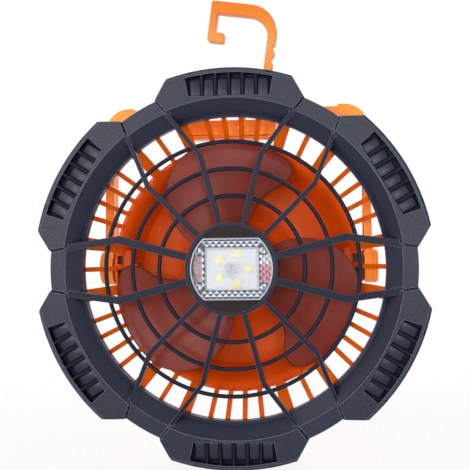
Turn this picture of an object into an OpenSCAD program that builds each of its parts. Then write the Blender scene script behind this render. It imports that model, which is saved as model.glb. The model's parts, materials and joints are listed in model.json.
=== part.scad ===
// Portable camping fan with a lamp in the grille, a tilting stand and a hanging hook.
// Local axes of every module: x to the right, y up, z from the rear face towards the front.
// place() turns them into the part's frame: the front faces -Y, up is +Z and the lowest
// lobe of the guard touches z = 0.

/* [Overall] */
// Depth from the rear cover to the front of the lobes
depth = 70; // [66:1:76]
// Radius of the six lobes of the front guard
lobe_r = 100; // [98:0.5:104]

/* [Front guard] */
// Outer radius of the links between the lobes
link_r = 91.9; // [91:0.1:93]
// Inner radius of the guard's ring
ring_in_r = 76.3; // [75.5:0.1:77]
// Depth of the guard's outer skirt
skirt_depth = 18; // [16:0.5:20]
// Wall of the guard
guard_wall = 2.4; // [2:0.1:3]
// How far the links lie behind the faces of the lobes
link_drop = 2.2; // [1.6:0.1:3]
// Half angle of a lobe at its outer corners
lobe_half_angle = 18.2; // [17:0.1:19]
// Half angle of a link, where the lobes' flanks end
link_half_angle = 6; // [5:0.25:7]
// Radius of the crease between a lobe's face and its inner slope
crease_r = 85; // [84:0.1:86]
// Radius of the crease between a link's face and the inner slope
link_crease_r = 84.4; // [83.5:0.1:85.5]
// Depth of the grip pocket in each lobe
pocket_depth = 5; // [3:0.25:6]
// Radius at the pocket's inner edge
pocket_in_r = 85.9; // [85.7:0.1:88]
// Radius at the pocket's outer edge
pocket_out_r = 97.4; // [96:0.1:97.6]
// Half width of the pocket at its inner edge
pocket_half_w = 20; // [17:0.25:20.5]
// Distance between the ribs in a pocket
pocket_pitch = 6.75; // [6:0.05:6.9]
// Thickness of a rib in a pocket
pocket_rib_w = 1.3; // [1:0.1:2]
// Height of the pad at the inner side of each pocket cell
pocket_pad_h = 2.4; // [1:0.1:3]

/* [Grille] */
// Width of the plain grille ribs
rib_w = 2.3; // [1.8:0.1:3]
// Width of the four ribs beside the horizontal, which hide the lamp's leads
lead_rib_w = 3.8; // [3.4:0.1:4.4]
// Depth of the grille ribs
rib_depth = 3.6; // [3:0.1:4.2]
// Radius at which the ribs bend towards the links
rib_bend_r = 59; // [55:0.5:61]
// Radius of the wire section of the grille rings
ring_wire_r = 1.05; // [0.9:0.05:1.3]
// Centre radius of the outer grille ring
grille_ring_r = 63.5; // [62:0.5:65]
// Distance between the grille rings
grille_ring_step = 13.5; // [13:0.1:14]

/* [Lamp] */
// Outer radius of the lamp housing in the grille
lamp_r = 23.25; // [22.5:0.25:24]
// Depth of the lamp housing
lamp_depth = 12; // [11:0.25:12.5]
// Radius of the lens window
lens_r = 20.7; // [20:0.1:21]
// Half height of the lens window between its flats
lens_half_h = 15.4; // [14:0.1:16]
// Thickness of the lens in front of its flange
lens_t = 2.8; // [2:0.1:3.2]
// Thickness of the lens flange
lens_flange_t = 1.2; // [1:0.1:1.6]
// Width of the white field of the light board
led_field_w = 30; // [26:0.5:31]
// Height of the white field of the light board
led_field_h = 22; // [18:0.5:23]
// Side of a white light chip
led_chip_w = 3.5; // [2.8:0.1:4]
// Radius of the ring of five white light chips
led_ring_r = 8; // [7:0.25:8.5]
// Thickness of the light board
led_board_t = 1.2; // [1:0.1:1.6]

/* [Impeller] */
// Radius at the blade tips
blade_tip_r = 64.5; // [60:0.25:65]
// Number of blades
blade_count = 3; // [3:1:5]
// Thickness of a blade
blade_t = 1.5; // [1.2:0.1:2]
// Height from the leading to the trailing edge of a blade
blade_rise = 10; // [7:0.5:11]
// Outer radius of the impeller's hub
hub_r = 19.5; // [18:0.25:20.5]
// Height of the impeller's hub
hub_h = 13; // [12:0.25:13.5]
// Gap between the impeller's hub and the lamp housing
hub_gap = 2; // [1.5:0.1:3]

/* [Motor] */
// Radius of the motor can
motor_r = 14; // [12:0.25:14.5]
// Length of the motor can
motor_len = 13; // [11:0.25:13.5]
// Radius of the motor shaft
shaft_r = 1.5; // [1:0.05:2]
// Radial running clearance of the shaft in its bush
shaft_fit = 0.05; // [0.02:0.01:0.1]

/* [Basket] */
// Distance from the front of the lobes to the rim of the bowl
rim_depth = 29; // [28:0.5:31]
// Inner radius of the bowl's rim
bowl_r = 62.8; // [62:0.1:64]
// Wall of the basket
basket_wall = 2.2; // [1.8:0.1:2.6]
// Width of the thin slats
slat_w = 2.4; // [2:0.1:3]
// Width of the thick slats at the rim of the bowl
brace_w = 4.6; // [4:0.1:6]
// Width of the thick slats at the flange
brace_foot_w = 6.6; // [6:0.1:8]
// Angle from a link to the thick slat beside it
brace_angle = 10; // [9:0.25:11]
// Angle between neighbouring thin slats
slat_step = 6.6; // [6:0.1:6.8]
// Thickness of the flange that the guard is screwed to
flange_t = 3.8; // [3:0.1:4]

/* [Rear housing] */
// Outer radius of the battery housing
housing_r = 54; // [53:0.25:56]
// Wall of the battery housing
housing_wall = 2.4; // [2:0.1:3]
// Height of the bowl's floor above the rear face
floor_h = 25; // [24.5:0.25:27]
// Thickness of the rear cover
cover_t = 2.6; // [2.2:0.1:2.6]
// Radius of a battery cell
cell_r = 9.15; // [9:0.05:9.2]
// Length of a battery cell
cell_len = 65; // [64:0.5:65.5]
// Number of battery cells
cell_count = 3; // [1:1:3]
// Gap between neighbouring cells
cell_gap = 0.9; // [0.5:0.1:1]

/* [Stand] */
// Half width over the stand's shoulders
stand_half_w = 69; // [68:0.1:70.5]
// Gap between the rim of the basket and the stand's arms at the pivots
arm_gap = 1.9; // [1.8:0.1:3]
// Height from the pivots to the top of the shoulders
stand_h = 84.5; // [84:0.1:86]
// How far the shoulders rise above the crossbar
shoulder_rise = 1.2; // [0.6:0.1:1.6]
// Thickness of the stand's arms
arm_t = 4.3; // [4:0.1:4.5]
// Thickness of the crossbar
bar_t = 3.3; // [3:0.1:4]
// Width of the stand from front to back
stand_w = 12.5; // [11.5:0.25:14]
// Outer radius of the stand's corners
stand_corner_r = 12.5; // [10:0.5:15]
// Inner radius of the stand's corners, which thickens them
stand_web_r = 17; // [13:0.5:20]
// Distance from the rear face to the pivot axis
pivot_h = 31; // [30:0.5:32]
// Radius of the round ends of the arms
pivot_boss_r = 9; // [8:0.25:9.5]
// Radius of the pivot screws' shoulders
pivot_r = 3; // [2.5:0.1:3.5]
// Radial running clearance of the arms on the pivot screws
pivot_fit = 0.06; // [0.02:0.01:0.1]
// Thickness of the friction washers at the pivots
washer_t = 1; // [0.8:0.1:1.2]
// Thickness of the pivot caps
cap_t = 2.8; // [2:0.1:3.5]
// Height from the pivots to the bottom of the saddle plate
saddle_low = 67.5; // [67:0.1:68.2]
// Height of the saddle plate
saddle_h = 9.8; // [9.2:0.1:10.4]
// Left end of the saddle plate
saddle_left = -26.8; // [-29:0.1:-25]
// Right end of the saddle plate
saddle_right = 21; // [20:0.5:24]

/* [Hook] */
// Distance of the hook's pivot to the right of the middle
hook_x = 12.5; // [11.5:0.25:13.5]
// Height of the hook's pivot above the bottom of the saddle plate
hook_rise = 4.3; // [4.2:0.05:4.6]
// Lean of the hook at rest, clockwise from the front
hook_lean = 8.2; // [0:0.1:15]
// Length from the hook's pivot to its top
hook_len = 65.4; // [60:0.2:70]
// Thickness of the hook from front to back
hook_t = 7; // [5:0.25:7.5]
// Width of the hook's stem
hook_stem_w = 4.6; // [4:0.1:5.2]
// Height of the hook's top bar
hook_bar_h = 6.6; // [5.5:0.1:7.5]
// Reach from the stem's middle to the outer side of the hook
hook_reach = 34; // [28:0.5:38]
// Width of the hook's down-turned end
hook_drop_w = 3.9; // [3.5:0.1:5]
// Outer radius of the hook's bend
hook_bend_r = 15; // [12:0.25:18]
// Height of the hook's down-turned end, from the top to the lip's underside
hook_drop_h = 22; // [19:0.25:26]
// Height of the hook's lip
hook_lip_h = 5.4; // [4:0.1:6.5]
// Length of the hook's lip
hook_lip_len = 9; // [7:0.25:12]
// Radius of the hook's pin
hook_pin_r = 1.5; // [1.2:0.05:1.8]
// Radial running clearance of the hook on its pin
hook_pin_fit = 0.06; // [0.02:0.01:0.1]

/* [Controls] */
// Radius of the push buttons
button_r = 6.2; // [5:0.1:7]
// Depth of the recess that the push buttons stand in
panel_recess = 1; // [0.8:0.1:1.2]
// Travel of the push buttons
button_travel = 0.8; // [0.4:0.1:1]
// Gap round a push button
button_gap = 0.3; // [0.3:0.05:0.5]
// Distance of the push buttons from the middle
button_x = 13; // [11:0.5:15]
// Distance of the push buttons below the middle
button_drop = 33; // [31:0.5:35]
// Width of the charging socket
usb_w = 8.94; // [8.9:0.02:9.2]
// Height of the charging socket
usb_h = 3.16; // [3.1:0.02:3.4]
// Thickness of the main board
board_t = 1.6; // [1:0.1:1.6]

/* [Hidden] */

$fn = 96;
eps = 0.01;
// Small gap between pieces that seat on each other without moving
snug = 0.05;
// Number of lobes, and of links, round the guard
lobe_count = 6;
lobe_turn = 360 / lobe_count;
black = "#3a3c47";
orange = "#ea5a12";
light_orange = "#f4862e";
smoke = "#6b3a30";
steel = "#b9bcc0";

// Heights above the rear face
front_h = depth;
link_h = depth - link_drop;
skirt_h = depth - skirt_depth;
rib_top_h = link_h + 0.8;
rib_low_h = rib_top_h - rib_depth;
rim_h = depth - rim_depth;
flange_top_h = skirt_h + 2 + flange_t;
flange_low_h = flange_top_h - flange_t;

// Front guard
seam_angle = lobe_turn / 2 - link_half_angle;
lip_h = link_h - 4.3;
slope_foot_r = 80;
slope_foot_h = lip_h + (slope_foot_r - ring_in_r) * (link_h - lip_h) / (link_crease_r - ring_in_r);
flank_lean = 1;
outer_bevel = 1.4;
skirt_void_r = link_r - guard_wall;
lobe_void_r = lobe_r - guard_wall;
wall_angle = guard_wall / lobe_r * 180 / PI;
lip_out_r = ring_in_r + guard_wall;
screw_circle_r = (lip_out_r + skirt_void_r) / 2 + 0.9;
boss_r = 3.2;
screw_r = 1.5;
pilot_r = 1.3;
guard_screw_len = 9;
guard_screw_head_r = 2.8;
pocket_ribs = 5;
pocket_flare = 2.9;
pocket_wall = 1.6;

// Lamp
lamp_front_h = front_h - 0.5;
lamp_low_h = lamp_front_h - lamp_depth;
lamp_rim_w = 1.5;
segment_drop = 1;
lens_front_h = lamp_front_h - 0.5;
flange_seat_h = lens_front_h - lens_t;
cavity_r = lamp_r - lamp_rim_w - 0.5;
lens_flange_low_h = flange_seat_h - lens_flange_t;
led_board_top_h = lens_flange_low_h - 2.4;
led_board_low_h = led_board_top_h - led_board_t;
led_chip_h = 0.8;
wing_x = led_field_w / 2 + 2.6;
wing_w = 3.6;
wing_h = 14;
red_chip = [2, 3];
red_chip_y = 3.8;
lamp_screw_r = 17.5;
lamp_screw_len = 3.8;

// Impeller and motor
hub_top_h = lamp_low_h - hub_gap;
hub_low_h = hub_top_h - hub_h;
blade_low_h = hub_low_h + 2;
motor_top_h = hub_low_h - 3;
motor_low_h = motor_top_h - motor_len;
bush_r = 4;
bush_h = 2;
shaft_top_h = hub_top_h - 3;
motor_screw_x = 8;
motor_screw_len = 4;
mound_foot_w = 18;

// Basket and housing
flange_in_r = ring_in_r + 0.5;
flange_out_r = skirt_void_r - 0.3;
floor_t = 2.2;
housing_in_r = housing_r - housing_wall;
rim_out_r = bowl_r + basket_wall - 0.6;
arm_foot_x = rim_out_r + arm_gap;
ear_in_x = 56;
ear_out_x = arm_foot_x - washer_t - 2 * snug;
ear_half_y = 9.5;
cell_h = cover_t + 0.35 + cell_r;
cell_top_y = 28;
board_low_h = 9;
board_top_h = board_low_h + board_t;
board_r = housing_in_r - 1.4;
board_high_y = -22;
board_half_w = 26;
board_post_x = 20;
board_post_y = -40;
post_r = 3;
usb_len = 8;
cradle_w = 6;
cradle_left = -22;
cradle_right = 16;
cradle_over = 8;
usb_mouth_y = -(housing_r - 0.8);
switch_h = 3;
switch_w = 6;
plunger_r = 1.7;
plunger_h = 1;
panel_half_w = 24;
panel_r = 7;
panel_low_y = -button_drop - button_r - 4;
panel_high_y = board_high_y + 4;
cover_screw_x = 36;
cover_screw_y = 34;
cover_screw_len = 7;
cover_screw_head_r = 2.9;
cover_post_r = 3.2;
indicator_w = 17;
indicator_h = 2.6;

// Stand
arm_out_x = arm_foot_x + arm_t;
bar_top = stand_h - shoulder_rise;
bar_low = bar_top - bar_t;
shoulder_in_x = stand_half_w - 16;
screw_head_r = 5.4;
screw_head_t = 1.9;
screw_head_gap = 0.7;
pivot_relief = 0.4;
saddle_top = saddle_low + saddle_h;
saddle_webs = [[saddle_left, 8], [2, 2.4], [saddle_right - 3.4, 3.4]];

// Hook
hook_y = saddle_low + hook_rise;
hook_eye_r = hook_rise - 0.1;
hook_slot_w = hook_t + 0.8;
hook_pin_end_h = pivot_h + hook_slot_w / 2 + 0.7;
hook_pocket_depth = 0.8;
hook_swing_left = 39;
hook_swing_right = 52;

function polar(r, a) = [r * cos(a), r * sin(a)];

// Turns local axes into the part's frame
module place() {
    translate([0, depth / 2, lobe_r]) rotate([90, 0, 0]) children();
}

// Repeats its children once for each lobe, or for each link, round the guard
module round_guard() {
    for (i = [0 : lobe_count - 1]) rotate(i * lobe_turn) children();
}

module tube(r_out, r_in, h) {
    difference() {
        cylinder(r = r_out, h = h);
        translate([0, 0, -1]) cylinder(r = r_in, h = h + 2);
    }
}

// Flat bar from p to q, with round ends
module bar_2d(p, q, w) {
    d = q - p;
    translate(p) rotate(atan2(d[1], d[0])) translate([0, -w / 2]) square([norm(d), w]);
    translate(p) circle(d = w, $fn = 24);
    translate(q) circle(d = w, $fn = 24);
}

// ---------- front guard ----------

// Middle of a bent rib's outer stretch, beside the link at the right; the seam between
// a link and a lobe runs along that stretch
seam_in = (polar(rib_bend_r, lobe_turn / 4) + polar(link_r, link_half_angle)) / 2;

// Inner end of the right seam of the lobe at the top
function seam_foot(inset) =
    polar(norm(seam_in), 90 - lobe_turn / 2 + atan2(seam_in[1], seam_in[0]) + inset);

// Outline of the lobe at the top, out to radius r, with its flanks pulled in by an angle
module lobe_2d(r, seam_r, inset) {
    corner = polar(lobe_r, 90 - lobe_half_angle + inset);
    seam = polar(seam_r, 90 - seam_angle + inset);
    low = seam + (seam - corner) * 0.06;
    high = seam + (corner - seam) * 2.5;
    foot = seam_foot(inset);
    intersection() {
        circle(r = r);
        polygon([
            foot, low, high, [-high[0], high[1]], [-low[0], low[1]], [-foot[0], foot[1]]
        ]);
    }
}

// Outline of the grip pocket in the top lobe, grown on every side
module pocket_2d(grow) {
    low = pocket_in_r - grow;
    high = pocket_out_r + grow;
    half_low = pocket_half_w + grow;
    half_high = half_low + pocket_flare;
    intersection() {
        circle(r = high);
        polygon([
            [-half_low, low], [half_low, low], [half_high, high + 2], [-half_high, high + 2]
        ]);
    }
}

// Section of the ring that the lobes and links share
module ring_section_2d() {
    polygon([
        [ring_in_r, skirt_h],
        [ring_in_r, lip_h],
        [link_crease_r, link_h],
        [link_r, link_h],
        [link_r, skirt_h]
    ]);
}

// Section of a lobe, whose inner slope ends on the ring's
module lobe_section_2d() {
    in_r = slope_foot_r - 2;
    slope = (front_h - slope_foot_h) / (crease_r - slope_foot_r);
    polygon([
        [in_r, skirt_h],
        [in_r, slope_foot_h - 2 * slope],
        [crease_r, front_h],
        [lobe_r - outer_bevel, front_h],
        [lobe_r, front_h - outer_bevel],
        [lobe_r, skirt_h]
    ]);
}

// What a leaning flank takes off the top of a lobe, along the seam to its right
module flank_cut() {
    foot = seam_foot(0);
    run = polar(link_r, 90 - seam_angle) - foot;
    translate([foot[0], foot[1], link_h]) rotate(atan2(run[1], run[0]))
        rotate([-atan(flank_lean / link_drop), 0, 0])
            translate([-5, -6, -0.5]) cube([norm(run) + 10, 6, link_drop + 4]);
}

module guard_ring() {
    rotate_extrude($fn = 180) ring_section_2d();
    difference() {
        intersection() {
            rotate_extrude($fn = 180) lobe_section_2d();
            translate([0, 0, skirt_h - 1]) linear_extrude(skirt_depth + 2)
                round_guard() lobe_2d(lobe_r + 1, link_r, 0);
        }
        round_guard() for (side = [0, 1]) mirror([side, 0, 0]) flank_cut();
    }
}

// Hollow of the guard behind its front walls
module guard_hollow() {
    below = skirt_h - 1;
    roof_h = link_h - guard_wall;
    slope = (link_h - lip_h) / (link_crease_r - ring_in_r);
    translate([0, 0, below]) tube(lip_out_r + 1, ring_in_r - 1, flange_top_h - skirt_h + 1.2);
    difference() {
        union() {
            rotate_extrude($fn = 180) polygon([
                [lip_out_r, below],
                [lip_out_r, roof_h - (link_crease_r - lip_out_r) * slope],
                [link_crease_r, roof_h],
                [skirt_void_r, roof_h],
                [skirt_void_r, below]
            ]);
            translate([0, 0, below]) linear_extrude(front_h - guard_wall - below) difference() {
                round_guard() lobe_2d(lobe_void_r, skirt_void_r, wall_angle);
                circle(r = crease_r + 0.5);
            }
        }
        // Floors and walls of the grip pockets
        translate([0, 0, front_h - pocket_depth - pocket_wall]) linear_extrude(pocket_depth)
            round_guard() pocket_2d(pocket_wall);
    }
}

// Cut of one grip pocket, with its ribs and pads left standing
module pocket_cut() {
    floor_z = front_h - pocket_depth;
    pad_y = pocket_in_r + 4.9;
    difference() {
        translate([0, 0, floor_z]) linear_extrude(pocket_depth + 1) pocket_2d(0);
        for (i = [0 : pocket_ribs - 1])
            translate([(i - (pocket_ribs - 1) / 2) * pocket_pitch - pocket_rib_w / 2,
                pocket_in_r - 1, floor_z - 1])
                cube([pocket_rib_w, pocket_out_r - pocket_in_r + 2, pocket_depth + 0.2]);
        for (i = [0 : pocket_ribs])
            translate([(i - pocket_ribs / 2) * pocket_pitch, 0, 0]) pocket_pad(floor_z, pad_y);
    }
}

// Raised pad at the inner side of one pocket cell
module pocket_pad(floor_z, pad_y) {
    half = (pocket_pitch - pocket_rib_w) / 2 - 0.5;
    translate([-half, pocket_in_r + 0.7, floor_z - 1])
        cube([2 * half, pad_y - pocket_in_r - 0.7, pocket_pad_h + 1]);
}

// Screw bosses behind the links, that the basket's flange seats on
module guard_bosses() {
    round_guard() translate([screw_circle_r, 0, flange_top_h])
        cylinder(r = boss_r, h = link_h - guard_wall + 0.3 - flange_top_h, $fn = 32);
}

// Rib number i: straight out from the lamp, then bent along the seam beside the nearer link
module grille_rib_2d(i) {
    a = 15 + 30 * i;
    side = i % 2 == 0 ? -1 : 1;
    near_level = abs(sin(a)) < 0.3;
    w = near_level ? lead_rib_w : rib_w;
    bend = polar(rib_bend_r, a);
    bar_2d(polar(lamp_r - 1, a), bend, w);
    bar_2d(bend, polar(link_r + 3, a + side * (15 - link_half_angle)), w * 0.92);
}

module grille() {
    translate([0, 0, rib_low_h]) linear_extrude(rib_depth) intersection() {
        union() for (i = [0 : 2 * lobe_count - 1]) grille_rib_2d(i);
        difference() {
            circle(r = crease_r + 0.7);
            circle(r = lamp_r - 0.5);
        }
    }
    for (k = [0 : 2]) translate([0, 0, rib_top_h - 1.9])
        rotate_extrude() translate([grille_ring_r - k * grille_ring_step, 0])
            circle(r = ring_wire_r, $fn = 24);
}

// Lens window or a slice of it: a round with flats at the top and the bottom
module lens_2d(r, half_h) {
    intersection() {
        circle(r = r);
        square([2 * r + 2, 2 * half_h], center = true);
    }
}

module lamp_cup() {
    difference() {
        translate([0, 0, lamp_low_h]) cylinder(r = lamp_r, h = lamp_depth);
        translate([0, 0, lamp_front_h - segment_drop])
            cylinder(r = lamp_r - lamp_rim_w, h = segment_drop + 1);
        translate([0, 0, lamp_low_h - 1]) linear_extrude(lamp_depth + 2)
            lens_2d(lens_r, lens_half_h);
        translate([0, 0, lamp_low_h - 1])
            cylinder(r = cavity_r, h = flange_seat_h - lamp_low_h + 1);
    }
    // Thin frame along the flats of the window
    for (side = [-1, 1]) translate([-13, side * (lens_half_h + 0.5) - 0.5, lamp_front_h - 3])
        cube([26, 1, 2.8]);
}

module front_guard() {
    color(black) place() {
        difference() {
            guard_ring();
            guard_hollow();
            round_guard() pocket_cut();
        }
        difference() {
            guard_bosses();
            round_guard() translate([screw_circle_r, 0, flange_top_h - 1])
                cylinder(r = pilot_r, h = 8, $fn = 24);
        }
        grille();
        lamp_cup();
    }
}

// ---------- lamp ----------

module lamp_lens() {
    color([0.9, 0.93, 0.96, 0.4]) place() {
        translate([0, 0, flange_seat_h - eps]) linear_extrude(lens_t)
            lens_2d(lens_r - snug, lens_half_h - snug);
        translate([0, 0, lens_flange_low_h]) cylinder(r = cavity_r - snug, h = lens_flange_t);
    }
}

module lamp_reflector() {
    h = lens_flange_low_h - led_board_top_h;
    color(steel) place() translate([0, 0, led_board_top_h]) difference() {
        cylinder(r = cavity_r - snug, h = h);
        translate([0, 0, h / 2]) cube([led_field_w, led_field_h, h + 1], center = true);
        for (side = [-1, 1]) translate([side * wing_x, 0, h / 2])
            cube([wing_w, wing_h, h + 1], center = true);
    }
}

module led_board() {
    color("white") place() translate([0, 0, led_board_low_h]) difference() {
        cylinder(r = cavity_r - snug, h = led_board_t);
        for (side = [-1, 1]) translate([0, side * lamp_screw_r, -1])
            cylinder(r = screw_r, h = led_board_t + 2, $fn = 24);
    }
}

module white_leds() {
    color("#f2e79a") place() for (i = [0 : 4])
        translate([led_ring_r * cos(72 * i - 2), led_ring_r * sin(72 * i - 2),
            led_board_top_h + led_chip_h / 2])
            cube([led_chip_w, led_chip_w, led_chip_h], center = true);
}

module red_leds() {
    color("#d64a5a") place() for (side = [-1, 1], k = [-1, 1])
        translate([side * wing_x, k * red_chip_y, led_board_top_h + led_chip_h / 2])
            cube([red_chip[0], red_chip[1], led_chip_h], center = true);
}

module lamp_back() {
    h = led_board_low_h - lamp_low_h;
    color(black) place() translate([0, 0, lamp_low_h]) difference() {
        cylinder(r = cavity_r - snug, h = h);
        translate([0, 0, 1.4]) cylinder(r = 14, h = h);
        for (side = [-1, 1]) translate([0, side * lamp_screw_r, -1]) {
            cylinder(r = screw_r + snug, h = h + 2, $fn = 24);
            cylinder(r = 2.8, h = 2.2, $fn = 24);
        }
    }
}

// Small pan-head screw along +z, with its head at the bottom
module pan_screw(r, len, head_r, head_h) {
    difference() {
        cylinder(r = head_r, h = head_h, $fn = 32);
        translate([0, 0, -1]) for (a = [0, 90]) rotate(a)
            cube([head_r * 1.2, 0.5, 2 * (1 + head_h * 0.5)], center = true);
    }
    translate([0, 0, head_h - eps]) cylinder(r = r, h = len, $fn = 24);
}

module lamp_screws() {
    color(steel) place() for (side = [-1, 1])
        translate([0, side * lamp_screw_r, lamp_low_h + 0.2])
            pan_screw(screw_r - snug, lamp_screw_len, 2.6, 1);
}

// ---------- impeller and motor ----------

// Angles of a blade's trailing and leading edge at a share of the tip radius
function trail_angle(s) = lookup(s, [[0.30, 60], [0.45, 58], [0.55, 54.7], [0.66, 50],
    [0.83, 40.3], [0.90, 34.2], [0.95, 28.8], [1, 20]]);
function lead_angle(s) = lookup(s, [[0.30, -15.5], [0.53, -20], [0.66, -24.6], [0.72, -28.2],
    [0.79, -31.4], [0.89, -31.2], [0.945, -27.8], [0.97, -23], [1, -15]]);

// One blade as a grid of points: radial stations, across the chord, upper and lower side
module blade() {
    rows = 18;
    cols = 14;
    r0 = hub_r - 0.8;
    function reach(i) = sin(90 * i / rows);
    function r_at(i) = r0 + (blade_tip_r - r0) * reach(i);
    function a_at(i, j) =
        let (s = r_at(i) / blade_tip_r, u = j / cols)
        90 + lead_angle(s) * (1 - u) + trail_angle(s) * u;
    function h_at(i, j) =
        let (u = j / cols, flat = 0.75 + 0.25 * (1 - reach(i)))
        blade_low_h + blade_rise * (0.5 + (u - 0.5) * flat) + 1.2 * sin(180 * u);
    function half_t(j) = blade_t / 2 * (0.45 + 0.55 * sin(180 * j / cols));
    top = [for (i = [0 : rows], j = [0 : cols])
        [r_at(i) * cos(a_at(i, j)), r_at(i) * sin(a_at(i, j)), h_at(i, j) + half_t(j)]];
    low = [for (i = [0 : rows], j = [0 : cols])
        [r_at(i) * cos(a_at(i, j)), r_at(i) * sin(a_at(i, j)), h_at(i, j) - half_t(j)]];
    n = cols + 1;
    m = (rows + 1) * n;
    faces = concat(
        [for (i = [0 : rows - 1], j = [0 : cols - 1], k = [0, 1])
            k == 0 ? [i * n + j, i * n + j + 1, (i + 1) * n + j + 1]
                : [i * n + j, (i + 1) * n + j + 1, (i + 1) * n + j]],
        [for (i = [0 : rows - 1], j = [0 : cols - 1], k = [0, 1])
            k == 0 ? [m + i * n + j, m + (i + 1) * n + j + 1, m + i * n + j + 1]
                : [m + i * n + j, m + (i + 1) * n + j, m + (i + 1) * n + j + 1]],
        [for (i = [0 : rows - 1], k = [0, 1])
            k == 0 ? [i * n, (i + 1) * n, m + (i + 1) * n] : [i * n, m + (i + 1) * n, m + i * n]],
        [for (i = [0 : rows - 1], k = [0, 1]) let (c = cols)
            k == 0 ? [i * n + c, m + (i + 1) * n + c, (i + 1) * n + c]
                : [i * n + c, m + i * n + c, m + (i + 1) * n + c]],
        [for (j = [0 : cols - 1], k = [0, 1])
            k == 0 ? [j, m + j, m + j + 1] : [j, m + j + 1, j + 1]],
        [for (j = [0 : cols - 1], k = [0, 1]) let (b = rows * n)
            k == 0 ? [b + j, m + b + j + 1, m + b + j] : [b + j, b + j + 1, m + b + j + 1]]
    );
    polyhedron(points = concat(top, low), faces = faces, convexity = 4);
}

module impeller() {
    wall = 1.8;
    color(smoke) place() {
        difference() {
            translate([0, 0, hub_low_h]) cylinder(r = hub_r, h = hub_h);
            translate([0, 0, hub_low_h - 1]) cylinder(r = hub_r - wall, h = hub_h - wall + 1);
        }
        difference() {
            translate([0, 0, hub_low_h]) cylinder(r = 4, h = hub_h - 1);
            translate([0, 0, hub_low_h - 1]) cylinder(r = shaft_r, h = shaft_top_h - hub_low_h + 1);
        }
        for (i = [0 : blade_count - 1]) rotate(i * 360 / blade_count) blade();
    }
}

module motor_shaft() {
    color(steel) place() translate([0, 0, motor_low_h + 1.5])
        cylinder(r = shaft_r, h = shaft_top_h - motor_low_h - 1.5);
}

module motor_can() {
    color(steel) place() difference() {
        union() {
            translate([0, 0, motor_low_h]) cylinder(r = motor_r, h = motor_len);
            translate([0, 0, motor_low_h - 1]) cylinder(r = 5, h = 1 + eps);
        }
        translate([0, 0, motor_low_h + 1]) cylinder(r = 4, h = motor_len);
        translate([0, 0, motor_low_h + 1]) tube(motor_r - 1.2, 6, motor_len - 2.4);
        for (side = [-1, 1]) translate([side * motor_screw_x, 0, motor_top_h - 3])
            cylinder(r = 1, h = 4, $fn = 24);
    }
}

module motor_bush() {
    color("#b08a3a") place() translate([0, 0, motor_low_h + 3]) difference() {
        union() {
            cylinder(r = bush_r - eps, h = motor_len - 3);
            translate([0, 0, motor_len - 3 - eps]) cylinder(r = bush_r - 1, h = bush_h);
        }
        translate([0, 0, -1]) cylinder(r = shaft_r + shaft_fit, h = motor_len + bush_h);
    }
}

module motor_screws() {
    color(steel) place() for (side = [-1, 1])
        translate([side * motor_screw_x, 0, motor_top_h + floor_t + 1])
            rotate([180, 0, 0]) pan_screw(1 - snug, motor_screw_len, 1.9, 1);
}

// ---------- basket ----------

// Section of the basket: flange, sloping cage wall, bowl, motor mound
module basket_section_2d() {
    w = basket_wall;
    mound_top = motor_top_h + floor_t;
    polygon([
        [flange_out_r, flange_top_h],
        [flange_in_r, flange_top_h],
        [flange_in_r, flange_low_h + 0.5],
        [bowl_r, rim_h + 0.8],
        [bowl_r - 1.5, rim_h + 0.4],
        [bowl_r - 3.5, rim_h - 1.4],
        [housing_r + 0.4, floor_h + 6.5],
        [housing_r - 2.4, floor_h + 2],
        [housing_r - 6.5, floor_h],
        [motor_r + mound_foot_w, floor_h],
        [motor_r + mound_foot_w - 3, floor_h + 1.5],
        [motor_r + 7.5, mound_top - 2.5],
        [motor_r + 4.5, mound_top],
        [bush_r, mound_top],
        [bush_r, motor_top_h],
        [motor_r + snug, motor_top_h],
        [motor_r + snug, motor_low_h + 2],
        [motor_r + w, motor_low_h + 2],
        [motor_r + 12, floor_h - floor_t],
        [housing_in_r, floor_h - floor_t],
        [housing_in_r, cover_t],
        [housing_r, cover_t],
        [housing_r, floor_h],
        [housing_r + 3, floor_h + 5],
        [rim_out_r, rim_h - 1.6],
        [flange_in_r + w, flange_low_h],
        [flange_out_r, flange_low_h]
    ]);
}

// Slats as seen from the front: thin ones at the links and behind the lobes, thick between
module slats_2d() {
    round_guard() {
        bar_2d([bowl_r - 6, 0], [flange_in_r + 3, 0], slat_w);
        for (side = [-1, 1]) rotate(side * brace_angle) polygon([
            [bowl_r - 6, -brace_w / 2], [flange_in_r + 3, -brace_foot_w / 2],
            [flange_in_r + 3, brace_foot_w / 2], [bowl_r - 6, brace_w / 2]
        ]);
        rotate(lobe_turn / 2) for (k = [-1.5, -0.5, 0.5, 1.5])
            rotate(k * slat_step) bar_2d([bowl_r - 6, 0], [flange_in_r + 3, 0], slat_w);
    }
}

// Ear beside the bowl that carries a pivot screw
module pivot_ear() {
    translate([ear_in_x, 0, pivot_h]) rotate([0, 90, 0])
        cylinder(r = pivot_boss_r, h = ear_out_x - ear_in_x);
    translate([ear_in_x, -ear_half_y, floor_h])
        cube([ear_out_x - 1 - ear_in_x, 2 * ear_half_y, rim_h - 1 - floor_h]);
}

// Room round the washer and the arm's round end, that the basket's slats stay clear of
module pivot_room() {
    translate([ear_out_x, 0, pivot_h]) rotate([0, 90, 0])
        cylinder(r = pivot_boss_r - 1 + pivot_relief, h = 20);
    translate([arm_foot_x - pivot_relief, 0, pivot_h]) rotate([0, 90, 0])
        cylinder(r = pivot_boss_r + pivot_relief, h = 20);
}

// Two windows through the bowl's rim into the ear, either side of the thin slat
module ear_windows() {
    for (box = [[2.2, 4.4], [-8, 7.5]])
        translate([bowl_r - 2.6, box[0], rim_h - 5.5])
            cube([ear_out_x - bowl_r + 0.8, box[1], 8]);
}

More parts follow.
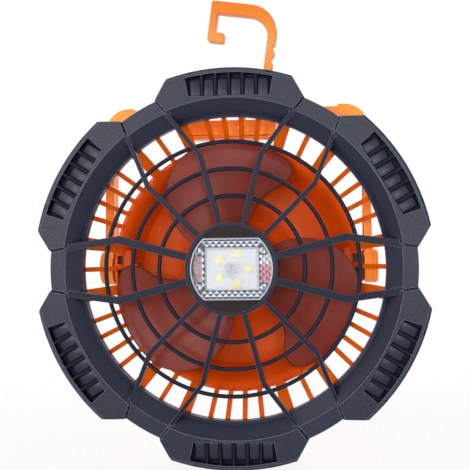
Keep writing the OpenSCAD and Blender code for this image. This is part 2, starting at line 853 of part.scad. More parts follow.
module basket_body() {
    difference() {
        rotate_extrude($fn = 180) basket_section_2d();
        translate([0, 0, rim_h - 1.2]) linear_extrude(flange_low_h - rim_h + 1.2 + 1.5)
            difference() {
                circle(r = flange_in_r + basket_wall - 0.6);
                circle(r = bowl_r);
                slats_2d();
            }
    }
    for (side = [0, 1]) mirror([side, 0, 0]) difference() {
        pivot_ear();
        cylinder(r = housing_r - 1, h = rim_h);
    }
}

module rear_basket() {
    color(orange) place() difference() {
        union() {
            basket_body();
            for (side = [-1, 1]) translate([side * board_post_x, board_post_y, board_top_h])
                cylinder(r = post_r, h = floor_h - 1 - board_top_h, $fn = 32);
            for (sx = [-1, 1], sy = [-1, 1])
                translate([sx * cover_screw_x, sy * cover_screw_y, cover_t])
                    cylinder(r = cover_post_r, h = floor_h - 1 - cover_t, $fn = 32);
        }
        for (side = [0, 1]) mirror([side, 0, 0]) {
            ear_windows();
            pivot_room();
        }
        // Flange holes for the guard's screws
        round_guard() translate([screw_circle_r, 0, flange_low_h - 1])
            cylinder(r = screw_r + 0.1, h = flange_t + 2, $fn = 24);
        // Bores for the pivot screws
        for (side = [-1, 1]) translate([side * (ear_in_x - 4), 0, pivot_h])
            rotate([0, side * 90, 0]) cylinder(r = pivot_r, h = 30);
        // Holes for the motor's screws
        for (side = [-1, 1]) translate([side * motor_screw_x, 0, motor_top_h - 1])
            cylinder(r = 1.1, h = 6, $fn = 24);
        // Pilot holes in the board posts and the cover posts
        for (side = [-1, 1]) translate([side * board_post_x, board_post_y, board_top_h - 1])
            cylinder(r = 0.9, h = 8, $fn = 24);
        for (sx = [-1, 1], sy = [-1, 1])
            translate([sx * cover_screw_x, sy * cover_screw_y, cover_t - 1])
                cylinder(r = pilot_r, h = 10, $fn = 24);
        // Opening for the charging socket
        translate([0, usb_mouth_y, board_top_h + usb_h / 2])
            cube([usb_w + 0.6, 12, usb_h + 0.6], center = true);
    }
}

module guard_screws() {
    color(steel) place() round_guard() translate([screw_circle_r, 0, flange_low_h - 1.4])
        pan_screw(pilot_r - snug, guard_screw_len, guard_screw_head_r, 1.4);
}

// ---------- battery, board and cover ----------

module battery_cells() {
    pitch = 2 * cell_r + cell_gap;
    color("#4a86c5") place() for (i = [0 : cell_count - 1])
        translate([-cell_len / 2, cell_top_y - i * pitch, cell_h]) rotate([0, 90, 0]) {
            cylinder(r = cell_r, h = cell_len - 1.2);
            translate([0, 0, cell_len - 1.2 - eps]) cylinder(r = 3, h = 1.2);
        }
}

module battery_cradle() {
    pitch = 2 * cell_r + cell_gap;
    high = floor_h - floor_t;
    color("#2b2b2e") place() difference() {
        for (x = [cradle_left, cradle_right])
            translate([x, cell_top_y - (cell_count - 1) * pitch - cradle_over, cell_h])
                cube([cradle_w, (cell_count - 1) * pitch + 2 * cradle_over, high - cell_h]);
        for (i = [0 : cell_count - 1])
            translate([-cell_len / 2, cell_top_y - i * pitch, cell_h]) rotate([0, 90, 0])
                cylinder(r = cell_r + snug, h = cell_len);
    }
}

module main_board() {
    color("#1d6b3a") place() translate([0, 0, board_low_h]) difference() {
        linear_extrude(board_t) intersection() {
            circle(r = board_r);
            translate([-board_half_w, -board_r])
                square([2 * board_half_w, board_r + board_high_y]);
        }
        for (side = [-1, 1]) translate([side * board_post_x, board_post_y, -1])
            cylinder(r = 1.1, h = board_t + 2, $fn = 24);
    }
}

module button_switches() {
    color("#26262a") place() for (side = [-1, 1])
        translate([side * button_x, -button_drop, board_low_h - switch_h]) {
            translate([-switch_w / 2, -switch_w / 2, plunger_h])
                cube([switch_w, switch_w, switch_h - plunger_h]);
            cylinder(r = plunger_r, h = plunger_h + eps, $fn = 32);
        }
}

module usb_c_socket() {
    color(steel) place() translate([0, usb_mouth_y, board_top_h]) difference() {
        translate([-usb_w / 2, 0, 0]) cube([usb_w, usb_len, usb_h]);
        translate([0, -1, usb_h / 2]) rotate([-90, 0, 0]) linear_extrude(usb_len - 1)
            difference() {
                square([usb_w - 0.7, usb_h - 0.7], center = true);
                square([6.6, 0.7], center = true);
            }
    }
}

// Outline of the recess round the buttons and the indicator
module panel_2d() {
    for (x = [-panel_half_w + panel_r, panel_half_w - panel_r],
        y = [panel_low_y + panel_r, panel_high_y - panel_r])
        translate([x, y]) circle(r = panel_r);
    translate([-panel_half_w, panel_low_y + panel_r])
        square([2 * panel_half_w, panel_high_y - panel_low_y - 2 * panel_r]);
    translate([-panel_half_w + panel_r, panel_low_y])
        square([2 * (panel_half_w - panel_r), panel_high_y - panel_low_y]);
}

module rear_cover() {
    bevel = 1.6;
    color(orange) place() difference() {
        union() {
            rotate_extrude($fn = 180) polygon([
                [0, 0], [housing_r - bevel, 0], [housing_r, bevel],
                [housing_r, cover_t], [0, cover_t]
            ]);
            translate([0, 0, cover_t - eps])
                tube(housing_in_r - 0.2, housing_in_r - 1.8, 2);
        }
        for (side = [-1, 1]) translate([side * button_x, -button_drop, -1])
            cylinder(r = button_r + button_gap, h = cover_t + 2);
        for (sx = [-1, 1], sy = [-1, 1])
            translate([sx * cover_screw_x, sy * cover_screw_y, -1]) {
                cylinder(r = screw_r + 0.1, h = cover_t + 6, $fn = 24);
                cylinder(r = cover_screw_head_r + 0.2, h = 2.4, $fn = 32);
            }
        for (sx = [-1, 1], sy = [-1, 1])
            translate([sx * cover_screw_x, sy * cover_screw_y, cover_t])
                cylinder(r = cover_post_r + 0.2, h = 4, $fn = 32);
        translate([0, board_high_y - 0.5, cover_t / 2])
            cube([indicator_w, indicator_h, cover_t + 2], center = true);
        translate([0, 0, -1]) linear_extrude(1 + panel_recess) panel_2d();
    }
}

module cover_screws() {
    color(steel) place() for (sx = [-1, 1], sy = [-1, 1])
        translate([sx * cover_screw_x, sy * cover_screw_y, 0.3])
            pan_screw(pilot_r - snug, cover_screw_len, cover_screw_head_r, 1.1);
}

module indicator_lens() {
    color("#e8efe8") place() translate([0, board_high_y - 0.5, 0]) {
        translate([0, 0, (cover_t + panel_recess) / 2])
            cube([indicator_w - 0.2, indicator_h - 0.2, cover_t - panel_recess + eps], center = true);
        translate([0, 0, cover_t + 0.5]) cube([indicator_w + 1.6, indicator_h + 1.6, 1], center = true);
    }
}

// Push button with a dished top, a retaining flange behind the cover and a stem
module push_button(x) {
    top = 0.2;
    dish_r = 24;
    dish = 0.6;
    flange_h = cover_t + 0.02;
    stem_end = board_low_h - switch_h - button_travel - 0.1;
    place() translate([x, -button_drop, 0]) {
        difference() {
            translate([0, 0, top]) cylinder(r = button_r, h = flange_h - top);
            translate([0, 0, top + dish - dish_r]) sphere(r = dish_r);
        }
        translate([0, 0, flange_h - eps]) cylinder(r = button_r + 1, h = 0.8);
        translate([0, 0, flange_h]) cylinder(r = 2, h = stem_end - flange_h, $fn = 32);
    }
}

module fan_button() {
    color("#2a2b33") push_button(button_x);
}

module light_button() {
    color("#2a2b33") push_button(-button_x);
}

// ---------- stand ----------

// Arch standing on y = 0, from a half width at its foot to another at its rounded shoulders
module arch_2d(foot_half, top_half, top, r) {
    lean = atan((foot_half - top_half) / top);
    x = foot_half - (r + (top - r) * sin(lean)) / cos(lean);
    side = [x, top - r] + r * [cos(lean), sin(lean)];
    polygon([
        [-foot_half, 0], [foot_half, 0], side, [x, top - r], [x, top],
        [-x, top], [-x, top - r], [-side[0], side[1]]
    ]);
    for (sign = [-1, 1]) translate([sign * x, top - r]) circle(r = r);
}

module saddle_2d() {
    r = 4.5;
    left = saddle_left;
    right = saddle_right;
    translate([left, saddle_low + r]) square([right - left, saddle_h - r]);
    translate([left + r, saddle_low]) square([right - left - 2 * r, saddle_h]);
    for (x = [left + r, right - r]) translate([x, saddle_low + r]) circle(r = r, $fn = 48);
}

// Room that the hook's stem sweeps through the saddle and the crossbar
module hook_swing_2d() {
    rise = stand_h - hook_y + 2;
    half = hook_stem_w / 2 + 0.6;
    right = half / cos(hook_swing_right);
    left = half / cos(hook_swing_left);
    translate([hook_x, hook_y]) {
        translate([-hook_eye_r - 0.5, -hook_rise - 2])
            square([2 * hook_eye_r + 1, 2 * hook_rise + 2]);
        polygon([
            [-left, 0],
            [right, 0],
            [right + rise * tan(hook_swing_right), rise],
            [-left - rise * tan(hook_swing_left), rise]
        ]);
    }
}

module stand_bracket() {
    color(light_orange) place() difference() {
        union() {
            translate([0, 0, pivot_h - stand_w / 2]) linear_extrude(stand_w) {
                difference() {
                    arch_2d(arm_out_x, stand_half_w, stand_h, stand_corner_r);
                    arch_2d(arm_foot_x, stand_half_w - arm_t, bar_low, stand_web_r);
                    translate([-arm_foot_x, -1]) square([2 * arm_foot_x, 1 + eps]);
                    // The crossbar lies a little lower than the shoulders
                    polygon([
                        [-shoulder_in_x, bar_top], [shoulder_in_x, bar_top],
                        [shoulder_in_x + 2, stand_h + 1], [-shoulder_in_x - 2, stand_h + 1]
                    ]);
                }
                saddle_2d();
                for (web = saddle_webs) translate([web[0], saddle_top - 1])
                    square([web[1], bar_low - saddle_top + 2]);
            }
            for (side = [0, 1]) mirror([side, 0, 0]) translate([arm_foot_x, 0, pivot_h])
                rotate([0, 90, 0]) cylinder(r = pivot_boss_r, h = arm_t);
        }
        // Bores on the pivot screws, with room for their heads
        for (side = [0, 1]) mirror([side, 0, 0]) translate([arm_foot_x - 1, 0, pivot_h])
            rotate([0, 90, 0]) {
                cylinder(r = pivot_r + pivot_fit, h = arm_t + 2);
                translate([0, 0, arm_t + 1 - screw_head_t - 0.4])
                    cylinder(r = screw_head_r + screw_head_gap, h = screw_head_t + 2);
            }
        // Slot of the hook
        translate([0, 0, pivot_h - hook_slot_w / 2]) linear_extrude(hook_slot_w) hook_swing_2d();
        // Blind hole of the hook's pin, open at the rear
        translate([hook_x, hook_y, pivot_h - stand_w / 2 - 1])
            cylinder(r = hook_pin_r, h = hook_pin_end_h - pivot_h + stand_w / 2 + 1);
        // Small drain hole and shallow pockets in the front of the saddle
        translate([1.6, saddle_low + 6.1, pivot_h - stand_w / 2 - 1])
            cylinder(r = 1, h = stand_w + 2, $fn = 32);
        translate([saddle_left + 3.4, saddle_low + 2.3, pivot_h + stand_w / 2 - 4])
            cube([17.5, 4.6, 5]);
        translate([hook_x - 7.6, saddle_low + 1.6, pivot_h + stand_w / 2 - hook_pocket_depth])
            cube([11, 5, hook_pocket_depth + 1]);
    }
}

module pivot_screws() {
    len = arm_out_x - 0.3 - screw_head_t - ear_in_x + 2;
    color(steel) place() for (side = [0, 1]) mirror([side, 0, 0])
        translate([arm_out_x - 0.3, 0, pivot_h]) rotate([0, -90, 0]) {
            difference() {
                cylinder(r = screw_head_r, h = screw_head_t);
                for (a = [0, 90]) rotate(a) cube([6, 1, 1.6], center = true);
            }
            translate([0, 0, screw_head_t - eps]) cylinder(r = pivot_r, h = len);
        }
}

module friction_washers() {
    color("#202024") place() for (side = [0, 1]) mirror([side, 0, 0])
        translate([ear_out_x, 0, pivot_h]) rotate([0, 90, 0])
            tube(pivot_boss_r - 1, pivot_r + snug, washer_t - 2 * snug);
}

module pivot_caps() {
    color(light_orange) place() for (side = [0, 1]) mirror([side, 0, 0])
        translate([arm_out_x, 0, pivot_h]) rotate([0, 90, 0]) rotate_extrude() polygon([
            [0, 0], [pivot_boss_r, 0], [pivot_boss_r, cap_t - 1], [pivot_boss_r - 1, cap_t],
            [5.2, cap_t], [4.4, cap_t - 0.8], [0, cap_t - 0.8]
        ]);
}

// ---------- hook ----------

// Outline of the hook standing upright on its pivot
module hook_2d() {
    right = hook_stem_w / 2;
    inner_r = hook_bend_r - hook_stem_w;
    inner_top = hook_len - hook_bar_h;
    lip_low = hook_len - hook_drop_h;
    lip_top = lip_low + hook_lip_h;
    difference() {
        union() {
            circle(r = hook_eye_r);
            translate([-right, 0]) square([hook_stem_w, hook_len - hook_bend_r]);
            corner_2d([-hook_reach, lip_low], [right, hook_len], hook_bend_r);
        }
        // Inside of the hook, its mouth, and notches in the stem's outer side
        corner_2d([-hook_reach + hook_drop_w, lip_top], [-right, inner_top], inner_r);
        translate([-hook_reach + hook_lip_len, lip_low - 1])
            square([hook_reach - hook_lip_len - right, hook_lip_h + 4]);
        for (y = [31, 37.5, 44]) translate([right + 0.6, y]) circle(r = 1.8, $fn = 32);
        // Rounded corners of the down-turned end and the lip
        corner_trim([-hook_reach, lip_low], 2, 0);
        corner_trim([-hook_reach + hook_lip_len, lip_low], 1.5, 90);
        corner_trim([-hook_reach + hook_lip_len, lip_top], 1.5, 180);
        corner_trim([-hook_reach, hook_len], 1, 270);
    }
}

// Rectangle between two corners, with a round at its upper right corner
module corner_2d(low, high, r) {
    difference() {
        translate(low) square(high - low);
        corner_trim(high, r, 180);
    }
}

// What a round of radius r takes off a corner, whose sides run along the turned axes
module corner_trim(at, r, turn) {
    translate(at) rotate(turn) difference() {
        translate([-1, -1]) square(r + 1);
        translate([r, r]) circle(r = r);
    }
}

module hook() {
    color(light_orange) place() translate([hook_x, hook_y, pivot_h - hook_t / 2])
        rotate(-hook_lean) linear_extrude(hook_t) difference() {
            hook_2d();
            circle(r = hook_pin_r + hook_pin_fit, $fn = 48);
        }
}

module hook_pin() {
    low_h = pivot_h - stand_w / 2 + 0.3;
    color(steel) place() translate([hook_x, hook_y, low_h])
        cylinder(r = hook_pin_r, h = hook_pin_end_h - snug - low_h);
}

front_guard();
lamp_lens();
lamp_reflector();
led_board();
white_leds();
red_leds();
lamp_back();
lamp_screws();
impeller();
motor_shaft();
motor_can();
motor_bush();
motor_screws();
rear_basket();
guard_screws();
battery_cells();
battery_cradle();
main_board();
button_switches();
usb_c_socket();
rear_cover();
cover_screws();
indicator_lens();
fan_button();
light_button();
stand_bracket();
pivot_screws();
friction_washers();
pivot_caps();
hook();
hook_pin();
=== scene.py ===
import json
from math import asin, atan2, cos, hypot, pi, radians, sin

import bmesh
import bpy
from bpy.props import (FloatProperty, FloatVectorProperty, IntProperty,
                       PointerProperty)
from mathutils import Matrix, Vector

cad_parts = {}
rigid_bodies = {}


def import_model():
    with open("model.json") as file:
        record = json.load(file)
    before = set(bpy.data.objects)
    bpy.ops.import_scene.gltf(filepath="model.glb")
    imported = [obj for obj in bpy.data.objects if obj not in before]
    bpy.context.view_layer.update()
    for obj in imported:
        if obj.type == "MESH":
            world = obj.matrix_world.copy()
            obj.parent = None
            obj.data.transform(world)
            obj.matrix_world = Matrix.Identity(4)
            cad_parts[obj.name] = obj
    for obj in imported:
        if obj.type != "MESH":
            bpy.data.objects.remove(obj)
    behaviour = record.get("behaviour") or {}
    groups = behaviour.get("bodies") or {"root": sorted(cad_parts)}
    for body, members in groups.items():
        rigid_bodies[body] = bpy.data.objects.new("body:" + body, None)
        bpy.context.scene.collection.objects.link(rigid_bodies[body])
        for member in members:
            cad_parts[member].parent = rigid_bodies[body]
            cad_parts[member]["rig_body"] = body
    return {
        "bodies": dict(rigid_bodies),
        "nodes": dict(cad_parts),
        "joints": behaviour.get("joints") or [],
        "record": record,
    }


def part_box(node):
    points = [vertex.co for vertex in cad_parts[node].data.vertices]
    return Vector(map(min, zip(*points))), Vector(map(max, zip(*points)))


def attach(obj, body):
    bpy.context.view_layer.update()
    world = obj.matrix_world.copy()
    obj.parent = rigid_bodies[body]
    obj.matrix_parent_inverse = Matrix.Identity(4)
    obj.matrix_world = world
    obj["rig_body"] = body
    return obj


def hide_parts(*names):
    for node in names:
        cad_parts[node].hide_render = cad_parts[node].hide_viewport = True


bl_info = {
    "name": "Camping fan finish",
    "version": (1, 0, 0),
    "blender": (4, 5, 0),
    "location": "3D View > Sidebar > Camping fan",
    "description": "Dresses a camping fan's frame with finer pieces, finishes and a stage",
    "category": "Object",
}

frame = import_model()
NODES = frame["nodes"]
SLOT_OF = {part["node"]: part["material_slot"] for part in frame["record"]["subparts"]}
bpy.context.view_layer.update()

# The fan's own axes: x to the right, y up from the spin axis, h towards the front from
# the rear face. The guard gives its centre, and the rear cover its rear face.
GUARD_LOW, GUARD_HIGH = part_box("front_guard")
AXIS_Z = (GUARD_LOW.z + GUARD_HIGH.z) / 2
REAR_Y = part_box("rear_cover")[1].y

LOBES = 6
# Level of the stage's floor, a hair below the fan
FLOOR_Z = -0.0002
# Half width and half height of the lamp's light field, and of the wings beside it the half
# height and the distance from the middle
FIELD_W, FIELD_H = 0.0136, 0.0108
WING_H, WING_X = 0.0064, 0.0153

# A blade's edges: angles from its middle at shares of the tip radius
TRAIL_EDGE = [(0.30, 60.0), (0.45, 58.0), (0.55, 54.7), (0.66, 50.0), (0.83, 40.3),
              (0.90, 34.2), (0.95, 28.8), (1.0, 20.0)]
LEAD_EDGE = [(0.30, -15.5), (0.53, -20.0), (0.66, -24.6), (0.72, -28.2), (0.79, -31.4),
             (0.89, -31.2), (0.945, -27.8), (0.97, -23.0), (1.0, -15.0)]


def at(x, y, h):
    """Point of the frame for the fan's own axes, all in metres."""
    return Vector((x, REAR_Y - h, AXIS_Z + y))


def height(y):
    """Height above the rear face of a place along the frame's Y axis."""
    return REAR_Y - y


def srgb(*values):
    """Linear colour of red, green and blue given from 0 to 255."""
    return tuple(v / 255 / 12.92 if v <= 10 else ((v / 255 + 0.055) / 1.055) ** 2.4
                 for v in values)


# ---------- mesh tools ----------

def shade(mesh, smooth_angle):
    """Shades a mesh smooth apart from edges sharper than an angle."""
    bm = bmesh.new()
    bm.from_mesh(mesh)
    limit = radians(smooth_angle)
    for face in bm.faces:
        face.smooth = True
    for edge in bm.edges:
        edge.smooth = len(edge.link_faces) != 2 or edge.calc_face_angle(0.0) <= limit
    bm.to_mesh(mesh)
    bm.free()


def coat(mesh, *slots):
    """Adds the finishes of some slots to a mesh."""
    for slot in slots:
        mesh.materials.append(finish_for(slot))


def new_piece(name, bm, slots, smooth_angle=35.0):
    """Turns a bmesh into an object with the finishes of some slots, shaded smooth apart
    from its sharp edges."""
    bmesh.ops.recalc_face_normals(bm, faces=bm.faces)
    mesh = bpy.data.meshes.new(name)
    bm.to_mesh(mesh)
    bm.free()
    shade(mesh, smooth_angle)
    coat(mesh, *slots)
    piece = bpy.data.objects.new(name, mesh)
    bpy.context.scene.collection.objects.link(piece)
    return piece


def belong_to(piece, node):
    """The piece rides on the node's body."""
    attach(piece, NODES[node]["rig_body"])


def stand_for(piece, node):
    """The piece replaces the node, which it hides, and rides on its body."""
    belong_to(piece, node)
    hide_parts(node)


def rounded_copy(name, node, width, cut_first=False):
    """A piece with the node's shape, whose sharp edges are rounded. Large faces can be cut
    up before the rounding, where what it leaves of them can't be cut up afterwards."""
    bm = bmesh.new()
    bm.from_mesh(NODES[node].data)
    bmesh.ops.remove_doubles(bm, verts=bm.verts, dist=2e-6)
    bmesh.ops.dissolve_limit(bm, angle_limit=radians(1.0), verts=bm.verts, edges=bm.edges)
    if cut_first:
        bmesh.ops.triangulate(bm, faces=[f for f in bm.faces if len(f.verts) > 4],
                              ngon_method="EAR_CLIP")
    limit = radians(30.0)
    edges = [e for e in bm.edges if len(e.link_faces) == 2 and e.calc_face_angle(0.0) > limit]
    bmesh.ops.bevel(bm, geom=edges, offset=width, offset_type="OFFSET", segments=3,
                    profile=0.5, affect="EDGES", clamp_overlap=False)
    bmesh.ops.triangulate(bm, faces=[f for f in bm.faces if len(f.verts) > 4])
    piece = new_piece(name, bm, [SLOT_OF[node]], 40.0)
    weigh = piece.modifiers.new("Face weight", "WEIGHTED_NORMAL")
    weigh.keep_sharp = True
    stand_for(piece, node)


def join_rings(bm, rings):
    """Joins rings of points with the same count, of which some may be one point repeated."""
    for low, high in zip(rings, rings[1:]):
        for k in range(len(low)):
            n = (k + 1) % len(low)
            bm.faces.new(list(dict.fromkeys([low[k], low[n], high[n], high[k]])))


def lathe(bm, profile, steps=96):
    """Adds a solid of revolution about the spin axis. The profile holds (radius, h)."""
    turns = [2 * pi * k / steps for k in range(steps)]
    join_rings(bm, [[bm.verts.new(at(r * cos(a), r * sin(a), h)) for a in turns] if r
                    else [bm.verts.new(at(0.0, 0.0, h))] * steps for r, h in profile])


def box_into(bm, low, high, material=0):
    """Adds a box between two corners given in the fan's own axes."""
    corners = [bm.verts.new(at(x, y, h)) for x in (low[0], high[0])
               for y in (low[1], high[1]) for h in (low[2], high[2])]
    for quad in ((0, 1, 3, 2), (4, 6, 7, 5), (0, 4, 5, 1), (2, 3, 7, 6), (0, 2, 6, 4),
                 (1, 5, 7, 3)):
        bm.faces.new([corners[k] for k in quad]).material_index = material


def smooth_lookup(table, x):
    """Value at x of a smooth curve through a table of (place, value) points."""
    x = min(max(x, table[0][0]), table[-1][0])
    k = max(i for i in range(len(table) - 1) if table[i][0] <= x)

    def slope(i):
        a, b = max(i - 1, 0), min(i + 1, len(table) - 1)
        return (table[b][1] - table[a][1]) / (table[b][0] - table[a][0])

    (x0, v0), (x1, v1) = table[k], table[k + 1]
    span = x1 - x0
    t = (x - x0) / span
    return ((2 * t ** 3 - 3 * t ** 2 + 1) * v0 + (t ** 3 - 2 * t ** 2 + t) * span * slope(k)
            + (3 * t ** 2 - 2 * t ** 3) * v1 + (t ** 3 - t ** 2) * span * slope(k + 1))


# ---------- finishes ----------

def add_node(tree, kind, inputs=None, **settings):
    """Adds a shader node, with its settings, its values and its links."""
    node = tree.nodes.new("ShaderNode" + kind)
    for key, value in settings.items():
        setattr(node, key, value)
    for key, value in (inputs or {}).items():
        if isinstance(value, bpy.types.NodeSocket):
            tree.links.new(value, node.inputs[key])
        else:
            node.inputs[key].default_value = value
    return node


def scalar_math(tree, operation, first, second):
    """Result of an operation on two numbers."""
    return add_node(tree, "Math", {0: first, 1: second},
                    operation=operation).outputs["Value"]


def vector_math(tree, operation, first, second=(0.0, 0.0, 0.0), result="Vector"):
    """Result of an operation on two vectors."""
    return add_node(tree, "VectorMath", {0: first, 1: second},
                    operation=operation).outputs[result]


def blank_finish(name, constants):
    """A material with a Principled shader, whose constant sockets are set on it."""
    material = bpy.data.materials.new(name)
    material.use_nodes = True
    tree = material.node_tree
    shader = tree.nodes["Principled BSDF"]
    for key, value in constants.items():
        shader.inputs[key].default_value = value
    place = add_node(tree, "TexCoord").outputs["Object"]
    return material, tree, shader, place


def paint(tree, shader, colour, roughness):
    """Links a shader's colour and roughness."""
    tree.links.new(colour, shader.inputs["Base Color"])
    tree.links.new(roughness, shader.inputs["Roughness"])


def emboss(tree, shader, level, depth, normal=None):
    """Bends a shader's normal by a level from 0 to 1, with a depth in metres."""
    inputs = {"Strength": 1.0, "Distance": depth, "Height": level}
    if normal is not None:
        inputs["Normal"] = normal
    bump = add_node(tree, "Bump", inputs)
    tree.links.new(bump.outputs["Normal"], shader.inputs["Normal"])


def cover(tree, share, first, second):
    """Gives a material's surface two shaders, mixed by a share."""
    mix = add_node(tree, "MixShader", {0: share, 1: first, 2: second})
    tree.links.new(mix.outputs["Shader"], tree.nodes["Material Output"].inputs["Surface"])


def noise(tree, place, size, detail=2.0, stretch=(1.0, 1.0, 1.0)):
    """Noise with features of a size in metres."""
    moved = add_node(tree, "Mapping", {"Vector": place, "Scale": stretch})
    return add_node(tree, "TexNoise", {
        "Vector": moved.outputs["Vector"], "Scale": 1.0 / size, "Detail": detail}).outputs["Fac"]


def between(tree, amount, low, high, start=0.3, end=0.7):
    """Turns an amount that runs from start to end into a number between low and high."""
    return add_node(tree, "MapRange", {
        "Value": amount, "From Min": start, "From Max": end,
        "To Min": low, "To Max": high}).outputs["Result"]


def blend_colours(tree, amount, low, high):
    """A colour between two, by an amount from 0 to 1."""
    ends = [c if isinstance(c, bpy.types.NodeSocket) else (*c[:3], 1.0) for c in (low, high)]
    mix = add_node(tree, "Mix", {0: amount, 6: ends[0], 7: ends[1]}, data_type="RGBA")
    return mix.outputs[2]


def scaled(colour, share):
    """A colour made darker or lighter, none of its parts above 1."""
    return [min(1.0, c * share) for c in colour]


def tint(tree, amount, colour, spread):
    """A colour that wanders a little darker and lighter with an amount."""
    return blend_colours(tree, between(tree, amount, 0.0, 1.0),
                         scaled(colour, 1 - spread), scaled(colour, 1 + spread))


def about_axis(tree, place):
    """A place set off from the spin axis and flattened along it, and its distance."""
    offset = vector_math(tree, "ADD", place, (0.0, 0.0, -AXIS_Z))
    level = vector_math(tree, "MULTIPLY", offset, (1.0, 0.0, 1.0))
    return level, vector_math(tree, "LENGTH", level, result="Value")


def rounded_edges_and_highlight(tree, edge, flat):
    """A rounded normal, and an amount that is 1 on edges and 0 on flat faces, which marks where
    the painted highlight goes.
    """
    rounded = add_node(tree, "Bevel", {"Radius": edge}, samples=6).outputs["Normal"]
    plain = add_node(tree, "NewGeometry").outputs["Normal"]
    turn = vector_math(tree, "DOT_PRODUCT", rounded, plain, "Value")
    return rounded, between(tree, turn, 1.0, 0.0, flat[0], flat[1])


def moulded_plastic(name, colour, roughness, grain=None, depth=0.00002, edge=0.0003,
                    spread=0.05, rub=0.12, flat=(0.75, 0.99), specks=0.0, outside=None,
                    **constants):
    """Injection-moulded plastic: flow marks, a fine grain with lighter specks that are also
    painted glints, and rounded edges lightened by a painted highlight. The colour may change
    beyond a radius about the spin axis, which gives one plastic a lit and a shaded copy as
    painted light and shade."""
    material, tree, shader, place = blank_finish(name, constants)
    flow = noise(tree, place, 0.03, 3.0, (1.0, 1.0, 0.6))
    speckle = noise(tree, place, grain or bpy.context.scene.fan_finish.grain, 4.0)
    normal, edges = rounded_edges_and_highlight(tree, edge, flat)
    body = tint(tree, flow, colour, spread)
    # Painted light and shade: beyond the radius the colour blends into another copy of the same
    # plastic, lighter for the shell's slats and darker for the hook's bar
    if outside:
        radius, painted_light_colour, soft = outside
        reach = about_axis(tree, place)[1]
        far = between(tree, reach, 0.0, 1.0, radius - soft, radius + soft)
        body = blend_colours(tree, far, body, painted_light_colour)
    # Lighter specks on the grain: partly random tone, partly painted glints of the textured
    # plastic
    if specks:
        body = blend_colours(tree, between(tree, speckle, 0.0, 1.0, 0.5, 0.7), body,
                             scaled(colour, 1 + specks))
    # Painted highlight: edges take their colour lifted by a share of itself and a little white
    edge_highlight_colour = [min(1.0, c * (1 + rub) + rub * 0.03) for c in colour]
    paint(tree, shader, blend_colours(tree, edges, body, edge_highlight_colour),
          between(tree, speckle, roughness - 0.06, roughness + 0.06))
    emboss(tree, shader, speckle, depth, normal)
    return material


def smoky_plastic(name, colour, opacity, roughness, shine):
    """Tinted see-through plastic of the blades, with streaks from the mould."""
    material, tree, shader, place = blank_finish(name, {
        "Alpha": opacity, "IOR": 1.5, "Specular IOR Level": shine})
    streaks = noise(tree, place, 0.02, 2.0, (1.0, 0.4, 1.0))
    fine = noise(tree, place, 0.001, 3.0)
    paint(tree, shader, tint(tree, streaks, colour, 0.12),
          between(tree, fine, roughness - 0.05, roughness + 0.05))
    emboss(tree, shader, fine, 0.000015)
    return material


def quilt_and_frost(tree, shader, place, roughness):
    """Covers a round patch in the lens' middle with tiny facets, and frosts the field over
    the light chips, which softens their edges. Gives the roughness."""
    pitch, rise, radius, fade = 0.0012, 0.0006, 0.0050, 0.0025
    frosted, soft_w, soft_h = 0.3, 0.0016, 0.0013
    level, reach = about_axis(tree, place)
    patch = between(tree, reach, 1.0, 0.0, radius - fade, radius)
    cells = add_node(tree, "TexVoronoi", {
        "Vector": level, "Scale": 1.0 / pitch, "Randomness": 0.25}, feature="F1")
    emboss(tree, shader, scalar_math(tree, "MULTIPLY", cells.outputs["Distance"], patch), rise)
    sides = add_node(tree, "SeparateXYZ", {
        "Vector": vector_math(tree, "ABSOLUTE", level)}).outputs
    frost = scalar_math(tree, "MULTIPLY",
                        between(tree, sides["X"], 1.0, 0.0, FIELD_W - soft_w, FIELD_W),
                        between(tree, sides["Z"], 1.0, 0.0, FIELD_H - soft_h, FIELD_H))
    return between(tree, frost, roughness, frosted, 0.0, 1.0)


def clear_plastic(name, colour, roughness, quilted=False):
    """Clear moulded plastic that lets the lamps' rays through."""
    material, tree, shader, place = blank_finish(
        name, {"Transmission Weight": 1.0, "IOR": 1.49})
    haze = noise(tree, place, 0.004, 3.0)
    rough = (quilt_and_frost(tree, shader, place, roughness) if quilted
             else between(tree, haze, roughness, roughness + 0.04))
    paint(tree, shader, tint(tree, haze, colour, 0.02), rough)
    through = add_node(tree, "BsdfTransparent", {"Color": (*colour, 1.0)})
    rays = add_node(tree, "LightPath").outputs["Is Shadow Ray"]
    cover(tree, rays, shader.outputs["BSDF"], through.outputs["BSDF"])
    return material


def bare_metal(name, colour, roughness, brush=(1.0, 1.0, 1.0)):
    """Plated or drawn metal with brushed streaks and dull patches."""
    material, tree, shader, place = blank_finish(name, {"Metallic": 1.0})
    streaks = noise(tree, place, 0.0008, 3.0, brush)
    patches = noise(tree, place, 0.006, 3.0)
    paint(tree, shader, tint(tree, patches, colour, 0.2),
          between(tree, streaks, roughness, roughness + 0.15))
    emboss(tree, shader, streaks, 0.00001)
    return material


def circuit_board(name, mask, copper):
    """Solder mask over copper tracks, with lighter lands."""
    pitch = 0.0072
    material, tree, shader, place = blank_finish(name, {"Coat Weight": 0.3})
    cells = add_node(tree, "TexVoronoi", {
        "Vector": place, "Scale": 1.0 / pitch, "Randomness": 0.6},
        distance="MANHATTAN", feature="F1")
    tracks = between(tree, cells.outputs["Distance"], 0.0, 1.0, 0.34, 0.36)
    fine = noise(tree, place, 0.0007, 2.0)
    paint(tree, shader, blend_colours(tree, tracks, mask, copper),
          between(tree, fine, 0.3, 0.42))
    emboss(tree, shader, tracks, 0.00003)
    return material


def light_chip(name, colour, glow):
    """Phosphor or coloured resin of a light chip, with a faint glow of its own."""
    material, tree, shader, place = blank_finish(name, {"Emission Strength": glow})
    grains = noise(tree, place, 0.0004, 2.0)
    body = tint(tree, grains, colour, 0.12)
    paint(tree, shader, body, between(tree, grains, 0.35, 0.5))
    tree.links.new(body, shader.inputs["Emission Color"])
    return material


